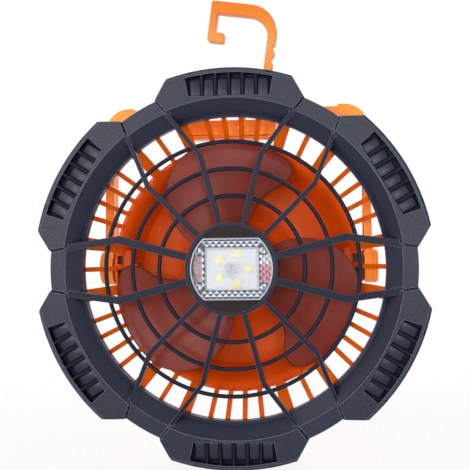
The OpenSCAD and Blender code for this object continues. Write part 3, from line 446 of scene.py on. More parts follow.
def shrink_wrap(name, colour):
    """Glossy film shrunk round a battery cell, with faint wrinkles."""
    material, tree, shader, place = blank_finish(name, {"Coat Weight": 0.4})
    wrinkles = noise(tree, place, 0.004, 4.0, (0.4, 1.0, 1.0))
    paint(tree, shader, tint(tree, wrinkles, colour, 0.1),
          between(tree, wrinkles, 0.25, 0.4))
    emboss(tree, shader, wrinkles, 0.00008)
    return material


def shine(level):
    """Socket value for the strength of a shader's reflections."""
    return {"Specular IOR Level": level}


def make_finish(slot):
    """Makes the finish of one of the record's slots, or of a detail of the scene's own."""
    colours = bpy.context.scene.fan_colours
    finish = bpy.context.scene.fan_finish
    guard = colours.guard
    orange = {"Specular Tint": (1.0, 0.72, 0.45, 1.0), **shine(finish.orange_shine)}
    # Painted glow: the stand gives off light in its own colour though it is no lamp, standing in
    # for light through its thin plastic
    glow = {"Emission Strength": finish.stand_painted_glow, "Emission Color": (*colours.stand, 1.0)}
    smooth = dict(grain=0.0008, depth=0.00001)
    frame = dict(grain=0.0002, depth=0.000005)
    # Colour, roughness and the rest of what a moulded plastic takes
    moulded = {
        "guard_black": (guard, finish.guard_gloss, dict(
            depth=0.0001, edge=0.0005, spread=0.12, rub=3.5,
            flat=(0.97, 0.999), specks=0.7, **shine(finish.guard_shine))),
        # Painted shade: the web and the grip pockets take darker copies of the guard's colour
        "guard_web_painted_shade": (scaled(guard, 0.8), 0.34, dict(
            depth=0.00005, edge=0.0008, spread=0.12, rub=2.5,
            flat=(0.85, 0.99), specks=0.5, **shine(0.13))),
        "guard_recess_painted_shade": (scaled(guard, 0.6), 0.5, dict(depth=0.00004, **shine(0.12))),
        # Painted light: the grip pads take a lighter copy of the guard's colour
        "grip_pad": (scaled(guard, 1.1), 0.34, dict(
            edge=0.0005, spread=0.1, rub=1.5, flat=(0.9, 0.999), **shine(0.32))),
        "lamp_ring": (srgb(20, 22, 42), 0.3, dict(
            depth=0.00003, edge=0.0005, spread=0.1, rub=3.0,
            flat=(0.9, 0.999), **shine(0.15))),
        "lamp_segment": (srgb(44, 34, 34), 0.45, dict(depth=0.00003, **shine(0.1))),
        # Painted light and shade: the bowl within 64.5 mm keeps the darker shell colour as
        # painted shade, and the slats and flange beyond it take the lighter slats colour as
        # painted light
        "orange_shell": (colours.shell, 0.34, dict(
            outside=(0.0645, colours.slats, 0.0015), **orange)),
        # Painted highlight on the mound's rim, and painted shade in the ear windows
        "mound_rim_painted_highlight": (srgb(248, 106, 22), 0.25, dict(edge=0.0006)),
        "ear_window_painted_shade": (srgb(48, 26, 22), 0.5, {}),
        "orange_stand": (colours.stand, 0.32, dict(**orange, **glow)),
        # Painted light and shade: the hook's stem takes the lighter hook colour as a painted
        # highlight, and the top bar beyond 127 mm takes the darker bar colour as painted shade
        "orange_hook": (colours.hook, 0.3, dict(
            outside=(0.127, colours.hook_bar, 0.009), **orange)),
        "button_dark": (colours.button, 0.4, dict(depth=0.00003)),
        "dark_plastic": (srgb(38, 38, 42), 0.5, dict(depth=0.00004)),
        "washer_rubber": (srgb(34, 34, 36), 0.75, dict(
            grain=0.0004, depth=0.00005, spread=0.15)),
        # Frosted rim of the lens, painted white as a highlight
        "lens_rim_frost_and_highlight": (srgb(206, 208, 216), 0.25, smooth),
        # Painted reflection on the lamp reflector's facets: white, grey and dark, and pink and
        # rose in the right wing
        "facet_white_painted_reflection": (srgb(204, 207, 216), 0.3, smooth),
        "facet_grey_painted_reflection": (srgb(112, 120, 134), 0.25, smooth),
        "facet_dark_painted_reflection": (srgb(46, 50, 64), 0.2, smooth),
        "facet_pink_painted_reflection": (srgb(196, 122, 140), 0.3, smooth),
        "facet_rose_painted_reflection": (srgb(128, 44, 66), 0.25, smooth),
        "wing_frame": (srgb(176, 120, 130), 0.45, frame),
        "chip_frame": (srgb(180, 178, 158), 0.45, frame),
    }
    others = {
        "smoky_blade": (smoky_plastic, colours.blade, finish.blade_opacity, 0.32,
                        finish.blade_shine),
        "blade_edge": (smoky_plastic, scaled(colours.blade, 0.3), 0.97, 0.3,
                       finish.blade_shine),
        "clear_lens": (clear_plastic, colours.lens, 0.02, True),
        "wing_tint": (clear_plastic, (0.78, 0.62, 0.64), 0.25),
        "zinc_steel": (bare_metal, srgb(190, 190, 194), 0.25),
        "motor_steel": (bare_metal, srgb(176, 178, 182), 0.28, (1.0, 8.0, 1.0)),
        "bronze_bush": (bare_metal, srgb(188, 142, 72), 0.3),
        "white_board": (circuit_board, srgb(176, 176, 182), srgb(168, 168, 176)),
        "green_board": (circuit_board, srgb(24, 96, 52), srgb(44, 124, 72)),
        "pale_yellow_led": (light_chip, colours.phosphor, finish.led_glow),
        "red_led": (light_chip, colours.red_light, finish.led_glow),
        "led_halo": (light_chip, srgb(190, 184, 118), finish.led_glow),
        "cell_wrap": (shrink_wrap, srgb(74, 134, 197)),
    }
    name = slot + "_finish"
    if slot in moulded:
        colour, roughness, options = moulded[slot]
        return moulded_plastic(name, colour, roughness, **options)
    maker, *values = others[slot]
    return maker(name, *values)


def finish_for(slot):
    """The finish of a slot, made when it is first asked for."""
    return bpy.data.materials.get(slot + "_finish") or make_finish(slot)


def dress(*nodes, smooth_angle=28.0):
    """Gives CAD nodes the finishes of their own slots, and smooth round faces."""
    for node in nodes:
        mesh = NODES[node].data
        if "custom_normal" in mesh.attributes:
            mesh.attributes.remove(mesh.attributes["custom_normal"])
        mesh.materials.clear()
        coat(mesh, SLOT_OF[node])
        for face in mesh.polygons:
            face.use_smooth = True
            face.material_index = 0
        weld = NODES[node].modifiers.new("Weld", "WELD")
        weld.merge_threshold = 1e-6
        split = NODES[node].modifiers.new("Sharp edges", "EDGE_SPLIT")
        split.split_angle = radians(smooth_angle)


# ---------- settings ----------

def colour_setting(name, subject, default):
    """Property for the colour of a subject."""
    return FloatVectorProperty(name=name, description="Colour of " + subject, subtype="COLOR",
                               size=3, min=0.0, max=1.0, default=default)


def number_setting(name, description, default, low, high, **kind):
    """Property for a number between two limits."""
    return FloatProperty(name=name, description=description, default=default, min=low,
                         max=high, **kind)


def length_setting(name, description, default, low, high):
    """Property for a length in metres."""
    return number_setting(name, description, default, low, high, unit="LENGTH")


def share_setting(name, description, default, low=0.0, high=1.0):
    """Property for a share of 1."""
    return number_setting(name, description, default, low, high, subtype="FACTOR")


def power_setting(name, subject, default):
    """Property for the power of a subject in watts."""
    return number_setting(name, "Power of " + subject, default, 0.0, 200.0, unit="POWER")


def angle_setting(name, description, default):
    """Property for an angle, whose default is given in degrees."""
    return FloatProperty(name=name, description=description, subtype="ANGLE",
                         default=radians(default))


class FanColours(bpy.types.PropertyGroup):
    """Colours of the fan's parts"""

    guard: colour_setting("Guard", "the front guard and the lamp housing", srgb(24, 29, 48))
    # The shell and slats colours are one plastic: the slats colour is painted light, and the
    # shell colour within the basket's bowl is painted shade
    shell: colour_setting("Shell", "the basket and the rear cover", srgb(232, 82, 8))
    slats: colour_setting("Slats", "the cage's slats and the flange", srgb(246, 104, 14))
    stand: colour_setting("Stand", "the tilting stand and its caps", srgb(253, 156, 62))
    # One hook plastic in two tones: the stem's lighter colour is a painted highlight, the top
    # bar's darker colour is painted shade
    hook: colour_setting("Hook", "the hanging hook's stem", srgb(253, 162, 84))
    hook_bar: colour_setting("Hook bar", "the hanging hook's top bar", srgb(237, 128, 44))
    blade: colour_setting("Blades", "the smoky blades", srgb(146, 58, 46))
    lens: colour_setting("Lens", "the lamp's lens", (0.96, 0.97, 0.98))
    phosphor: colour_setting(
        "White lights", "the white light chips' phosphor", srgb(200, 186, 72))
    red_light: colour_setting("Red lights", "the red light chips", srgb(214, 84, 84))
    button: colour_setting("Buttons", "the two push buttons", srgb(42, 43, 51))


class FanFinish(bpy.types.PropertyGroup):
    """Sizes of the finer shapes and of the finishes"""

    rounding: length_setting(
        "Edge rounding", "Radius on the edges of the stand and the hook", 0.0006, 0.0001, 0.0015)
    grain: length_setting("Grain", "Size of the plastic's grain", 0.0006, 0.0001, 0.003)
    guard_gloss: share_setting(
        "Guard roughness", "Roughness of the guard's plastic", 0.36, 0.1, 0.9)
    guard_shine: share_setting("Guard shine", "Strength of the guard's reflections", 0.29)
    # Painted glow: emission that lightens the stand, which is no lamp
    stand_painted_glow: number_setting(
        "Stand glow", "Light that comes through the stand's thin plastic", 0.13, 0.0, 1.0)
    orange_shine: share_setting(
        "Orange shine", "Strength of the orange plastic's reflections", 0.22)
    blade_shine: share_setting("Blade shine", "Strength of the blades' reflections", 0.16)
    blade_opacity: share_setting(
        "Blade opacity", "How much a blade hides what is behind it", 0.82, 0.2)
    blade_thickness: length_setting(
        "Blade thickness", "Thickness at the middle of a blade", 0.0015, 0.0008, 0.0025)
    blade_rows: IntProperty(
        name="Blade rows", description="Rows of faces along a blade", min=12, max=80, default=40)
    facet_pitch: length_setting(
        "Facet pitch", "Width of the facets on the lamp's reflector", 0.0031, 0.002, 0.005)
    facet_height: length_setting(
        "Facet height", "Height of the facets on the lamp's reflector", 0.0004, 0.0001, 0.0015)
    lip_height: length_setting(
        "Lobe lip height", "Rise of the second crease inside each lobe", 0.0009, 0.0002, 0.0015)
    led_glow: number_setting(
        "Chip glow", "Strength of the light chips' own light", 0.06, 0.0, 5.0)


class FanStage(bpy.types.PropertyGroup):
    """Camera, floor and lamps"""

    distance: length_setting(
        "Camera distance", "Distance from the camera to its aim", 0.5135, 0.2, 3.0)
    aim_side: length_setting(
        "Aim beside the axis", "Distance of the camera's aim right of the axis",
        0.0022, -0.1, 0.1)
    aim_rise: length_setting(
        "Aim above the axis", "Height of the camera's aim above the spin axis",
        0.01685, -0.1, 0.1)
    yaw: angle_setting("Yaw", "How far the camera stands to the right", 5.7)
    pitch: angle_setting("Pitch", "How far the camera stands above the aim", 0.0)
    roll: angle_setting("Roll", "Turn of the camera about its own axis", -0.8)
    focal: number_setting(
        "Focal length", "Focal length of the camera's lens in millimetres", 79.66, 20.0, 200.0)
    world: number_setting("Ambient light", "Strength of the light from all sides", 0.45, 0.0, 2.0)
    key: power_setting("Key lamp", "the lamp at the upper left", 5.0)
    left: power_setting("Left lamp", "the softbox at the left of the camera", 5.0)
    right: power_setting("Right lamp", "the softbox at the right of the camera", 3.5)
    rear: power_setting("Rear lamp", "the lamp behind the fan", 16.0)


# ---------- pieces ----------

def lens_outline(theta, radius, half):
    """Point at an angle on a round whose top and bottom are cut flat."""
    reach = min(radius, half / max(abs(sin(theta)), 1e-9))
    return reach * cos(theta), reach * sin(theta)


def spin_copies(bm, count):
    """Repeats everything in the mesh evenly round the spin axis."""
    first = list(bm.verts) + list(bm.edges) + list(bm.faces)
    for k in range(1, count):
        copy = bmesh.ops.duplicate(bm, geom=first)["geom"]
        verts = [g for g in copy if isinstance(g, bmesh.types.BMVert)]
        bmesh.ops.rotate(bm, verts=verts, cent=(0.0, 0.0, AXIS_Z),
                         matrix=Matrix.Rotation(2 * pi * k / count, 3, "Y"))


def build_grip_pads():
    """Rounded pads with tilted tops, one in every cell of the six grip pockets."""
    front = height(GUARD_LOW.y)
    cells, pitch, half = 6, 0.00675, 0.00275
    near, far, foot, top = 0.0858, 0.0948, front - 0.0051, front - 0.0018
    split_h = front - 0.004
    rounding, tilt = 0.0007, 0.12
    bm = bmesh.new()
    for i in range(cells):
        x = (i - (cells - 1) / 2) * pitch
        box_into(bm, (x - half, near, foot), (x + half, far, top))
    edges = [e for e in bm.edges if max(height(v.co.y) for v in e.verts) > split_h]
    bmesh.ops.bevel(bm, geom=edges, offset=rounding, offset_type="OFFSET", segments=3,
                    profile=0.5, affect="EDGES")
    for vert in bm.verts:
        if height(vert.co.y) > split_h:
            vert.co.y -= tilt * ((near + far) / 2 - (vert.co.z - AXIS_Z))
    spin_copies(bm, LOBES)
    belong_to(new_piece("grip_pads", bm, ["grip_pad"]), "front_guard")


def build_lobe_lips(finish):
    """The second crease on the slope inside each lobe, with a steeper lip within it."""
    front = height(GUARD_LOW.y)
    edge_r, crease_r, foot_r, half_turn = 0.0846, 0.0806, 0.0775, 20.9
    profile = [(edge_r, front - 0.00045), (crease_r, front - 0.0040 + finish.lip_height),
               (foot_r, front - 0.0060), (foot_r, front - 0.0070), (edge_r, front - 0.0022)]
    steps = 28
    bm = bmesh.new()
    rings = []
    for k in range(steps + 1):
        a = radians(90 + half_turn * (2 * k / steps - 1))
        rings.append([bm.verts.new(at(r * cos(a), r * sin(a), h)) for r, h in profile])
    join_rings(bm, rings)
    bm.faces.new(rings[0])
    bm.faces.new(rings[-1])
    spin_copies(bm, LOBES)
    belong_to(new_piece("lobe_lips", bm, ["guard_black"], 15.0), "front_guard")


def shade_guard():
    """Gives the web, the grip pockets and the lamp's housing darker finishes than the lobes; on
    the web and in the grip pockets the darker finishes are painted shade.
    """
    front = height(GUARD_LOW.y)
    housing_r, segment_r, segment_y, web_r = 0.0234, 0.0220, 0.0160, 0.0762
    pocket_near, pocket_far, pocket_half = 0.0855, 0.0978, 0.0235
    pocket_top, pocket_floor = 0.0006, 0.0052
    lobe_turn = 2 * pi / LOBES
    mesh = NODES["front_guard"].data
    coat(mesh, "guard_recess_painted_shade", "lamp_ring", "lamp_segment", "guard_web_painted_shade")
    recess, ring, segment, web = range(1, 5)
    for face in mesh.polygons:
        x, y = face.center.x, face.center.z - AXIS_Z
        turn = pi / 2 - atan2(y, x)
        turn -= round(turn / lobe_turn) * lobe_turn
        reach = hypot(x, y)
        across, along = reach * sin(turn), reach * cos(turn)
        deep = front - height(face.center.y)
        if reach < housing_r:
            face.material_index = (
                segment if reach < segment_r and abs(y) > segment_y else ring)
        # Painted shade on the web
        elif reach < web_r:
            face.material_index = web
        # Painted shade in the grip pockets
        elif (pocket_near < along < pocket_far and abs(across) < pocket_half
              and pocket_top < deep < pocket_floor):
            face.material_index = recess


def shade_basket():
    """Paints shade into the windows in the two ears, and a highlight on the rim of the motor's
    mound.
    """
    window_x, window_half, window_h = 0.056, 0.012, 0.0355
    rim_in, rim_out, rim_low, rim_high = 0.0235, 0.0285, 0.0262, 0.034
    mesh = NODES["rear_basket"].data
    coat(mesh, "ear_window_painted_shade", "mound_rim_painted_highlight")
    for face in mesh.polygons:
        x, y, h = face.center.x, face.center.z - AXIS_Z, height(face.center.y)
        forward = -face.normal.y
        # Painted shade: the ear windows' floors take a near-black brown
        if (abs(x) > window_x and abs(y) < window_half and abs(h - window_h) < 0.0003
                and forward > 0.9):
            face.material_index = 1
        # Painted highlight: a band on the mound's upper slope takes a lighter orange
        elif (rim_in < hypot(x, y) < rim_out and rim_low < h < rim_high
              and forward > 0.2):
            face.material_index = 2


def build_lens():
    """The clear lens: a flange, a window with flat top and bottom, and a frosted rim painted
    white as a highlight.
    """
    low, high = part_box("lamp_lens")
    seat, front = height(high.y), height(low.y)
    flange_r, flange = (high.x - low.x) / 2, 0.0012
    radius, half, rim_w, rim_drop = 0.02065, 0.01535, 0.0006, 0.0002
    corner = asin(half / radius)
    angles = sorted({2 * pi * k / 96 for k in range(96)}
                    | {corner + q for q in (0.0, pi)}
                    | {pi - corner + q for q in (0.0, pi)})
    edge = [lens_outline(a, radius, half) for a in angles]
    inner = [lens_outline(a, radius - rim_w, half - rim_w) for a in angles]
    rim = [(flange_r * cos(a), flange_r * sin(a)) for a in angles]
    bm = bmesh.new()
    rings = [[bm.verts.new(at(x, y, h)) for x, y in points] for points, h in (
        (rim, seat), (rim, seat + flange), (edge, seat + flange), (edge, front - rim_drop),
        (inner, front))]
    join_rings(bm, rings)
    # The rim's faces take the frosted finish, whose opaque white is partly a painted highlight
    for face in bm.faces:
        if height(face.calc_center_median().y) > front - 1.5 * rim_drop:
            face.material_index = 1
    bm.faces.new(rings[0])
    bm.faces.new(rings[-1])
    stand_for(new_piece("lens", bm, ["clear_lens", "lens_rim_frost_and_highlight"], 12.0), "lamp_lens")


def facet_rows(bm, finish, first, rows, reach, face_h, turned, kinds):
    """Adds rows of triangular facets beyond a line, on both sides of the lamp's middle.
    Facets whose base is on the outer side are of the first kind of their row."""
    pitch, rise = finish.facet_pitch, finish.facet_height
    depth, round_r = pitch / 2, 0.0207

    def vertex(along, across, level):
        x, y = (across, along) if turned else (along, across)
        return bm.verts.new(at(x, y, face_h - rise * level))

    for side in (-1, 1):
        for k in range(rows):
            low, high = side * (first + depth * k), side * (first + depth * (k + 1))
            for i in range(-16, 17):
                along = i * depth
                outer_base = (i + k + (side < 0)) % 2 == 0
                base, apex = (high, low) if outer_base else (low, high)
                if abs(along) > reach[k] or hypot(along, (low + high) / 2) > round_r:
                    continue
                base_level, apex_level = (k + 1) % 2, k % 2
                if not outer_base:
                    base_level, apex_level = apex_level, base_level
                corners = [vertex(along - depth, base, base_level),
                           vertex(along + depth, base, base_level),
                           vertex(along, apex, apex_level)]
                bm.faces.new(corners).material_index = kinds[k][0 if outer_base else 1]


def build_reflector(finish):
    """The frame round the light field, faced with facets painted white, grey and dark as a
    painted reflection of the bright surroundings and the dark housing.
    """
    low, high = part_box("lamp_reflector")
    back, face = height(high.y), height(low.y)
    floor_h = face - finish.facet_height - 0.0001
    outer = (high.x - low.x) / 2
    field_arc, steps = 59, 24
    end_x, end_r, end_half = 0.0196, 0.0207, 0.0040
    bridge_x, bridge_y = 0.0190, 0.0090
    bar_x, bar_y = (0.0146, 0.0176), (0.0069, 0.0076)
    wing_near, pink_top = 0.0145, 0.002
    # Painted reflection: the white, grey and dark facets stand in for what a mirror-bright
    # reflector shows, and the plates and bars behind the facets take the dark one
    white, grey, dark, pink, rose = range(5)
    bm = bmesh.new()
    facet_rows(bm, finish, FIELD_H, 3, (0.0142, 0.0165, 0.0165), face, False,
               ((white, dark), (white, dark), (grey, dark)))
    facet_rows(bm, finish, FIELD_W, 4, (0.0105, 0.0105, 0.0090, 0.0075), face, True,
               ((white, dark), (white, grey), (white, grey), (white, grey)))
    # The left wing has a ribbed window there instead, and the right wing's facets are pink
    blocked = []
    for facet in bm.faces:
        middle = facet.calc_center_median()
        x, y = middle.x, middle.z - AXIS_Z
        if abs(y) < WING_H and x < -WING_X:
            blocked.append(facet)
        elif abs(y) < WING_H and x > wing_near and y < pink_top:
            facet.material_index = pink if facet.material_index == white else rose
    bmesh.ops.delete(bm, geom=blocked, context="FACES")
    for side in (-1, 1):
        arc = [side * radians(90 + field_arc * (1 - 2 * q / steps))
               for q in range(steps + 1)]
        line = [(outer * cos(a), outer * sin(a)) for a in arc]
        start, end = [(x, side * FIELD_H) for x in (line[-1][0], line[0][0])]
        outline = line + [start, end]
        for h in (back, floor_h):
            bm.faces.new([bm.verts.new(at(x, y, h)) for x, y in outline]).material_index = dark
        box_into(bm, (side * FIELD_W, -FIELD_H, back), (side * WING_X, FIELD_H, floor_h), dark)
        box_into(bm, (side * end_x, -end_half, back), (side * end_r, end_half, floor_h), dark)
        for y in (-1, 1):
            box_into(bm, (side * WING_X, y * WING_H, back),
                     (side * bridge_x, y * bridge_y, floor_h), dark)
            box_into(bm, (side * bar_x[0], y * bar_y[0], face - 0.0001),
                     (side * bar_x[1], y * bar_y[1], face + 0.00005), dark)
    slots = ("facet_white_painted_reflection", "facet_grey_painted_reflection", "facet_dark_painted_reflection", "facet_pink_painted_reflection", "facet_rose_painted_reflection")
    stand_for(new_piece("faceted_reflector", bm, slots, 5.0), "lamp_reflector")


def build_wing_window():
    """The ribbed tinted window over the red chips at the left of the light field."""
    face = height(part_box("lamp_reflector")[0].y)
    ribs, first, pitch, width, half = 6, -0.0157, 0.0006, 0.00045, 0.0062
    foot, top = face - 0.0009, face - 0.0002
    bm = bmesh.new()
    for k in range(ribs):
        x = first - pitch * k
        box_into(bm, (x - width, -half, foot), (x, half, top))
    belong_to(new_piece("wing_window", bm, ["wing_tint"], 12.0), "lamp_lens")


def build_chips(name, node, places, size, slots):
    """Light chips: a frame, a pale border and a phosphor window, each at its own place."""
    low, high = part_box(node)
    base, top = height(high.y), height(low.y)
    dome = 0.0002
    steps = ((1.0, top - dome), (0.84, top - dome / 2), (0.62, top))
    bm = bmesh.new()
    for x, y in places:
        half_w, half_l = size[0] / 2, size[1] / 2
        for k, (share, level) in enumerate(steps):
            box_into(bm, (x - half_w * share, y - half_l * share, base),
                     (x + half_w * share, y + half_l * share, level), k)
    stand_for(new_piece(name, bm, slots), node)


def blade_mesh(bm, turn, tip_r, root_r, low_h, finish):
    """Adds one blade: a twisted sheet between its two edges, thickest at the middle."""
    rise, camber, twist, thin, tip_thin = 0.010, 0.0012, 0.25, 0.45, 0.6
    dark_cols, dark_rows = 2, 4
    rows = finish.blade_rows
    cols = rows * 3 // 4
    thick = finish.blade_thickness / 2
    sides = []
    for sign in (1, -1):
        grid = []
        for i in range(rows + 1):
            reach = sin(pi / 2 * i / rows)
            r = root_r + (tip_r - root_r) * reach
            share = r / tip_r
            lead, trail = smooth_lookup(LEAD_EDGE, share), smooth_lookup(TRAIL_EDGE, share)
            line = []
            for j in range(cols + 1):
                u = (1 - cos(pi * j / cols)) / 2
                angle = radians(90 + lead * (1 - u) + trail * u) + turn
                level = low_h + rise * (0.5 + (u - 0.5) * (1 - twist + twist * (1 - reach)))
                level += camber * sin(pi * u)
                edge = thin + (1 - thin) * sin(pi * u)
                if i == rows:
                    edge *= tip_thin
                line.append(bm.verts.new(at(r * cos(angle), r * sin(angle),
                                            level + sign * thick * edge)))
            grid.append(line)
        sides.append(grid)
        for i in range(rows):
            for j in range(cols):
                rim = j < dark_cols or j >= cols - dark_cols or i >= rows - dark_rows
                bm.faces.new([grid[i][j], grid[i][j + 1], grid[i + 1][j + 1],
                              grid[i + 1][j]]).material_index = int(rim)
    top, low = sides
    rims = (([row[0] for row in top], [row[0] for row in low]),
            ([row[cols] for row in top], [row[cols] for row in low]),
            (top[rows], low[rows]), (top[0], low[0]))
    for upper, lower in rims:
        for k in range(len(upper) - 1):
            bm.faces.new([upper[k], upper[k + 1], lower[k + 1], lower[k]]).material_index = 1


def build_impeller(finish):
    """The impeller: a hub like a cup with round edges, a boss and smoky blades."""
    low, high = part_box("impeller")
    base, top = height(high.y), height(low.y)
    blades, tip_r, overlap, blade_h = 3, 0.0645, 0.0008, base + 0.0020
    hub_r, wall, soft, chamfer = 0.0195, 0.0018, 0.0012, 0.0003
    boss_r, bore_r, bore_end = 0.004, 0.0015, top - 0.003
    bm = bmesh.new()
    for k in range(blades):
        blade_mesh(bm, 2 * pi * k / blades, tip_r, hub_r - overlap, blade_h, finish)
    arc = [(hub_r - soft + soft * sin(a), top - soft + soft * cos(a))
           for a in [pi / 2 * q / 5 for q in range(6)]]
    lathe(bm, [(0.0, top)] + arc + [
        (hub_r, base + chamfer), (hub_r - chamfer, base), (hub_r - wall, base),
        (hub_r - wall, top - wall), (boss_r, top - wall), (boss_r, base), (bore_r, base),
        (bore_r, bore_end), (0.0, bore_end)])
    stand_for(new_piece("smoky_impeller", bm, ["smoky_blade", "blade_edge"], 50.0), "impeller")


# ---------- operators ----------

class FAN_OT_guard(bpy.types.Operator):
    """Dress the front guard with its satin black plastic"""

    bl_idname = "fan.guard"
    bl_label = "Front guard"

    def execute(self, context):
        dress("front_guard", smooth_angle=20.0)
        shade_guard()
        build_grip_pads()
        build_lobe_lips(context.scene.fan_finish)
        return {"FINISHED"}


class FAN_OT_lamp(bpy.types.Operator):
    """Build the lens, the reflector and the light chips, and dress the lamp's other parts"""

    bl_idname = "fan.lamp"
    bl_label = "Lamp"

    def execute(self, context):
        count, ring_r, first_turn, white_size = 5, 0.008, -2, 0.0039
        red_x, red_y, red_size = 0.0176, 0.0038, (0.002, 0.003)
        turns = [radians(360 // count * k + first_turn) for k in range(count)]
        build_lens()
        build_chips("white_chips", "white_leds",
                    [(ring_r * cos(a), ring_r * sin(a)) for a in turns],
                    (white_size, white_size), ("chip_frame", "led_halo", "pale_yellow_led"))
        build_chips("red_chips", "red_leds",
                    [(sx * red_x, sy * red_y) for sx in (-1, 1) for sy in (-1, 1)],
                    red_size, ("wing_frame", "red_led", "red_led"))
        build_reflector(context.scene.fan_finish)
        build_wing_window()
        dress("led_board", "lamp_back")
        return {"FINISHED"}


class FAN_OT_impeller(bpy.types.Operator):
    """Build the smoky impeller"""

    bl_idname = "fan.impeller"
    bl_label = "Impeller"

    def execute(self, context):
        build_impeller(context.scene.fan_finish)
        return {"FINISHED"}


class FAN_OT_motor(bpy.types.Operator):
    """Dress the motor, its shaft and its bush"""

    bl_idname = "fan.motor"
    bl_label = "Motor"

    def execute(self, context):
        dress("motor_can", "motor_shaft", "motor_bush")
        return {"FINISHED"}


class FAN_OT_basket(bpy.types.Operator):
    """Dress the rear basket"""

    bl_idname = "fan.basket"
    bl_label = "Rear basket"

    def execute(self, context):
        dress("rear_basket")
        shade_basket()
        return {"FINISHED"}


class FAN_OT_power_pack(bpy.types.Operator):
    """Dress the battery, the boards, the socket and the rear cover"""

    bl_idname = "fan.power_pack"
    bl_label = "Battery and rear cover"

    def execute(self, context):
        dress("battery_cells", "battery_cradle", "main_board", "usb_c_socket")
        rounded_copy("back_cover", "rear_cover", 0.0004)
        rounded_copy("charge_window", "indicator_lens", 0.0002)
        return {"FINISHED"}


class FAN_OT_controls(bpy.types.Operator):
    """Round and dress the push buttons and their switches"""

    bl_idname = "fan.controls"
    bl_label = "Buttons"

    def execute(self, context):
        dress("button_switches")
        for node in ("fan_button", "light_button"):
            rounded_copy(node + "_key", node, 0.0004)
        return {"FINISHED"}


class FAN_OT_stand(bpy.types.Operator):
    """Round and dress the stand, its caps and its washers"""

    bl_idname = "fan.stand"
    bl_label = "Stand"

    def execute(self, context):
        rounding = context.scene.fan_finish.rounding
        rounded_copy("tilting_stand", "stand_bracket", rounding, cut_first=True)
        rounded_copy("pivot_covers", "pivot_caps", rounding * 0.5)
        dress("friction_washers")
        return {"FINISHED"}


class FAN_OT_hook(bpy.types.Operator):
    """Round and dress the hanging hook and its pin"""

    bl_idname = "fan.hook"
    bl_label = "Hook"

    def execute(self, context):
        rounded_copy("hanging_hook_bar", "hook", context.scene.fan_finish.rounding)
        dress("hook_pin")
        return {"FINISHED"}


class FAN_OT_fasteners(bpy.types.Operator):
    """Dress the screws"""

    bl_idname = "fan.fasteners"
    bl_label = "Screws"

    def execute(self, context):
        dress("lamp_screws", "motor_screws", "guard_screws", "cover_screws", "pivot_screws")
        return {"FINISHED"}


def seen_rays(tree):
    """1 for rays from the camera, a mirror or glass, 0 for the others."""
    rays = add_node(tree, "LightPath").outputs
    first = scalar_math(tree, "MAXIMUM", rays["Is Camera Ray"], rays["Is Glossy Ray"])
    return scalar_math(tree, "MAXIMUM", first, rays["Is Transmission Ray"])


def floor_finish():
    """Pale floor that turns into the white background, and keeps the fan's shadow."""
    material, tree, shader, place = blank_finish("floor_white", {})
    tree.nodes.remove(shader)
    far = vector_math(tree, "LENGTH", place, result="Value")
    fade_start, fade_end, near_share = 0.15, 0.5, 0.88
    fade = between(tree, far, near_share, 1.0, fade_start, fade_end)
    share = scalar_math(tree, "MULTIPLY", fade, seen_rays(tree))
    matt = add_node(tree, "BsdfDiffuse", {"Color": (0.86, 0.86, 0.86, 1.0)})
    white = add_node(tree, "Emission", {"Strength": 1.0})
    cover(tree, share, matt.outputs["BSDF"], white.outputs["Emission"])
    return material


def add_lamp(name, place, aim, size, power):
    """Adds a square white softbox that faces its aim."""
    data = bpy.data.lights.new(name, "AREA")
    data.energy = power
    data.size = size
    lamp = bpy.data.objects.new(name, data)
    lamp.location = place
    lamp.rotation_euler = (Vector(aim) - Vector(place)).to_track_quat("-Z", "Y").to_euler()
    bpy.context.scene.collection.objects.link(lamp)


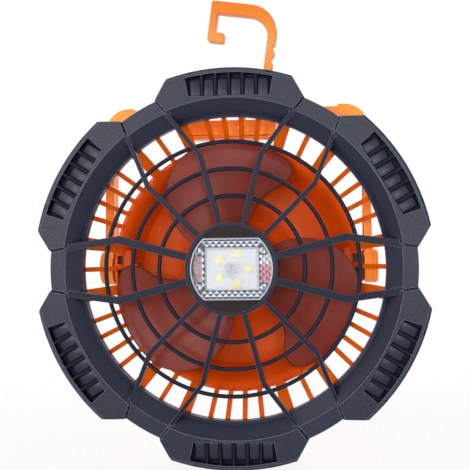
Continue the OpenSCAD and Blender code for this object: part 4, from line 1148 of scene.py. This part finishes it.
class FAN_OT_stage(bpy.types.Operator):
    """Set the camera, the floor and the lamps"""

    bl_idname = "fan.stage"
    bl_label = "Stage"

    def execute(self, context):
        scene = context.scene
        stage = scene.fan_stage
        aim = at(stage.aim_side, stage.aim_rise, height(GUARD_LOW.y))
        out = Vector((sin(stage.yaw) * cos(stage.pitch),
                      -cos(stage.yaw) * cos(stage.pitch), sin(stage.pitch)))
        data = bpy.data.cameras.new("front_camera")
        data.sensor_width = 36.0
        data.lens = stage.focal
        data.clip_end = 50.0
        camera = bpy.data.objects.new("front_camera", data)
        facing = (-out).to_track_quat("-Z", "Y").to_matrix().to_4x4()
        camera.matrix_world = (Matrix.Translation(aim + out * stage.distance) @ facing
                               @ Matrix.Rotation(stage.roll, 4, "Z"))
        scene.collection.objects.link(camera)
        scene.camera = camera

        bm = bmesh.new()
        bmesh.ops.create_grid(bm, x_segments=1, y_segments=1, size=6.0)
        for vert in bm.verts:
            vert.co.z = FLOOR_Z
        floor = new_piece("floor", bm, [])
        floor.data.materials.append(floor_finish())

        world = scene.world or bpy.data.worlds.new("studio")
        scene.world = world
        world.use_nodes = True
        tree = world.node_tree
        tree.nodes.clear()
        level = between(tree, seen_rays(tree), stage.world, 1.0, 0.0, 1.0)
        light = add_node(tree, "Background", {"Color": (1.0, 1.0, 1.0, 1.0), "Strength": level})
        output = add_node(tree, "OutputWorld")
        tree.links.new(light.outputs["Background"], output.inputs["Surface"])

        middle = Vector((0.0, 0.0, AXIS_Z))
        add_lamp("key_lamp", (-1.0, -1.2, 1.0), middle, 0.9, stage.key)
        add_lamp("left_lamp", (-0.45, -1.3, 0.22), middle, 0.45, stage.left)
        add_lamp("right_lamp", (0.24, -1.3, 0.22), middle, 0.35, stage.right)
        add_lamp("rear_lamp", (0.3, 1.3, 1.1), middle, 1.2, stage.rear)
        scene.view_settings.view_transform = "Standard"
        return {"FINISHED"}


OPERATORS = (FAN_OT_stage, FAN_OT_guard, FAN_OT_lamp, FAN_OT_impeller, FAN_OT_motor,
             FAN_OT_basket, FAN_OT_power_pack, FAN_OT_controls, FAN_OT_stand, FAN_OT_hook,
             FAN_OT_fasteners)


class FAN_PT_panel(bpy.types.Panel):
    """Lists the fan's settings and its pieces"""

    bl_idname = "FAN_PT_panel"
    bl_label = "Camping fan"
    bl_space_type = "VIEW_3D"
    bl_region_type = "UI"
    bl_category = "Camping fan"

    def draw(self, context):
        for group in (context.scene.fan_colours, context.scene.fan_finish,
                      context.scene.fan_stage):
            box = self.layout.box()
            for key in group.bl_rna.properties.keys():
                if key not in ("rna_type", "name"):
                    box.prop(group, key)
        column = self.layout.column(align=True)
        for operator in OPERATORS:
            column.operator(operator.bl_idname)


CLASSES = (FanColours, FanFinish, FanStage) + OPERATORS + (FAN_PT_panel,)


def register():
    for cls in CLASSES:
        bpy.utils.register_class(cls)
    bpy.types.Scene.fan_colours = PointerProperty(type=FanColours)
    bpy.types.Scene.fan_finish = PointerProperty(type=FanFinish)
    bpy.types.Scene.fan_stage = PointerProperty(type=FanStage)


def unregister():
    del bpy.types.Scene.fan_stage
    del bpy.types.Scene.fan_finish
    del bpy.types.Scene.fan_colours
    for cls in reversed(CLASSES):
        bpy.utils.unregister_class(cls)


def main():
    register()
    for operator in OPERATORS:
        kind, name = operator.bl_idname.split(".")
        getattr(getattr(bpy.ops, kind), name)()


if __name__ == "__main__":
    main()
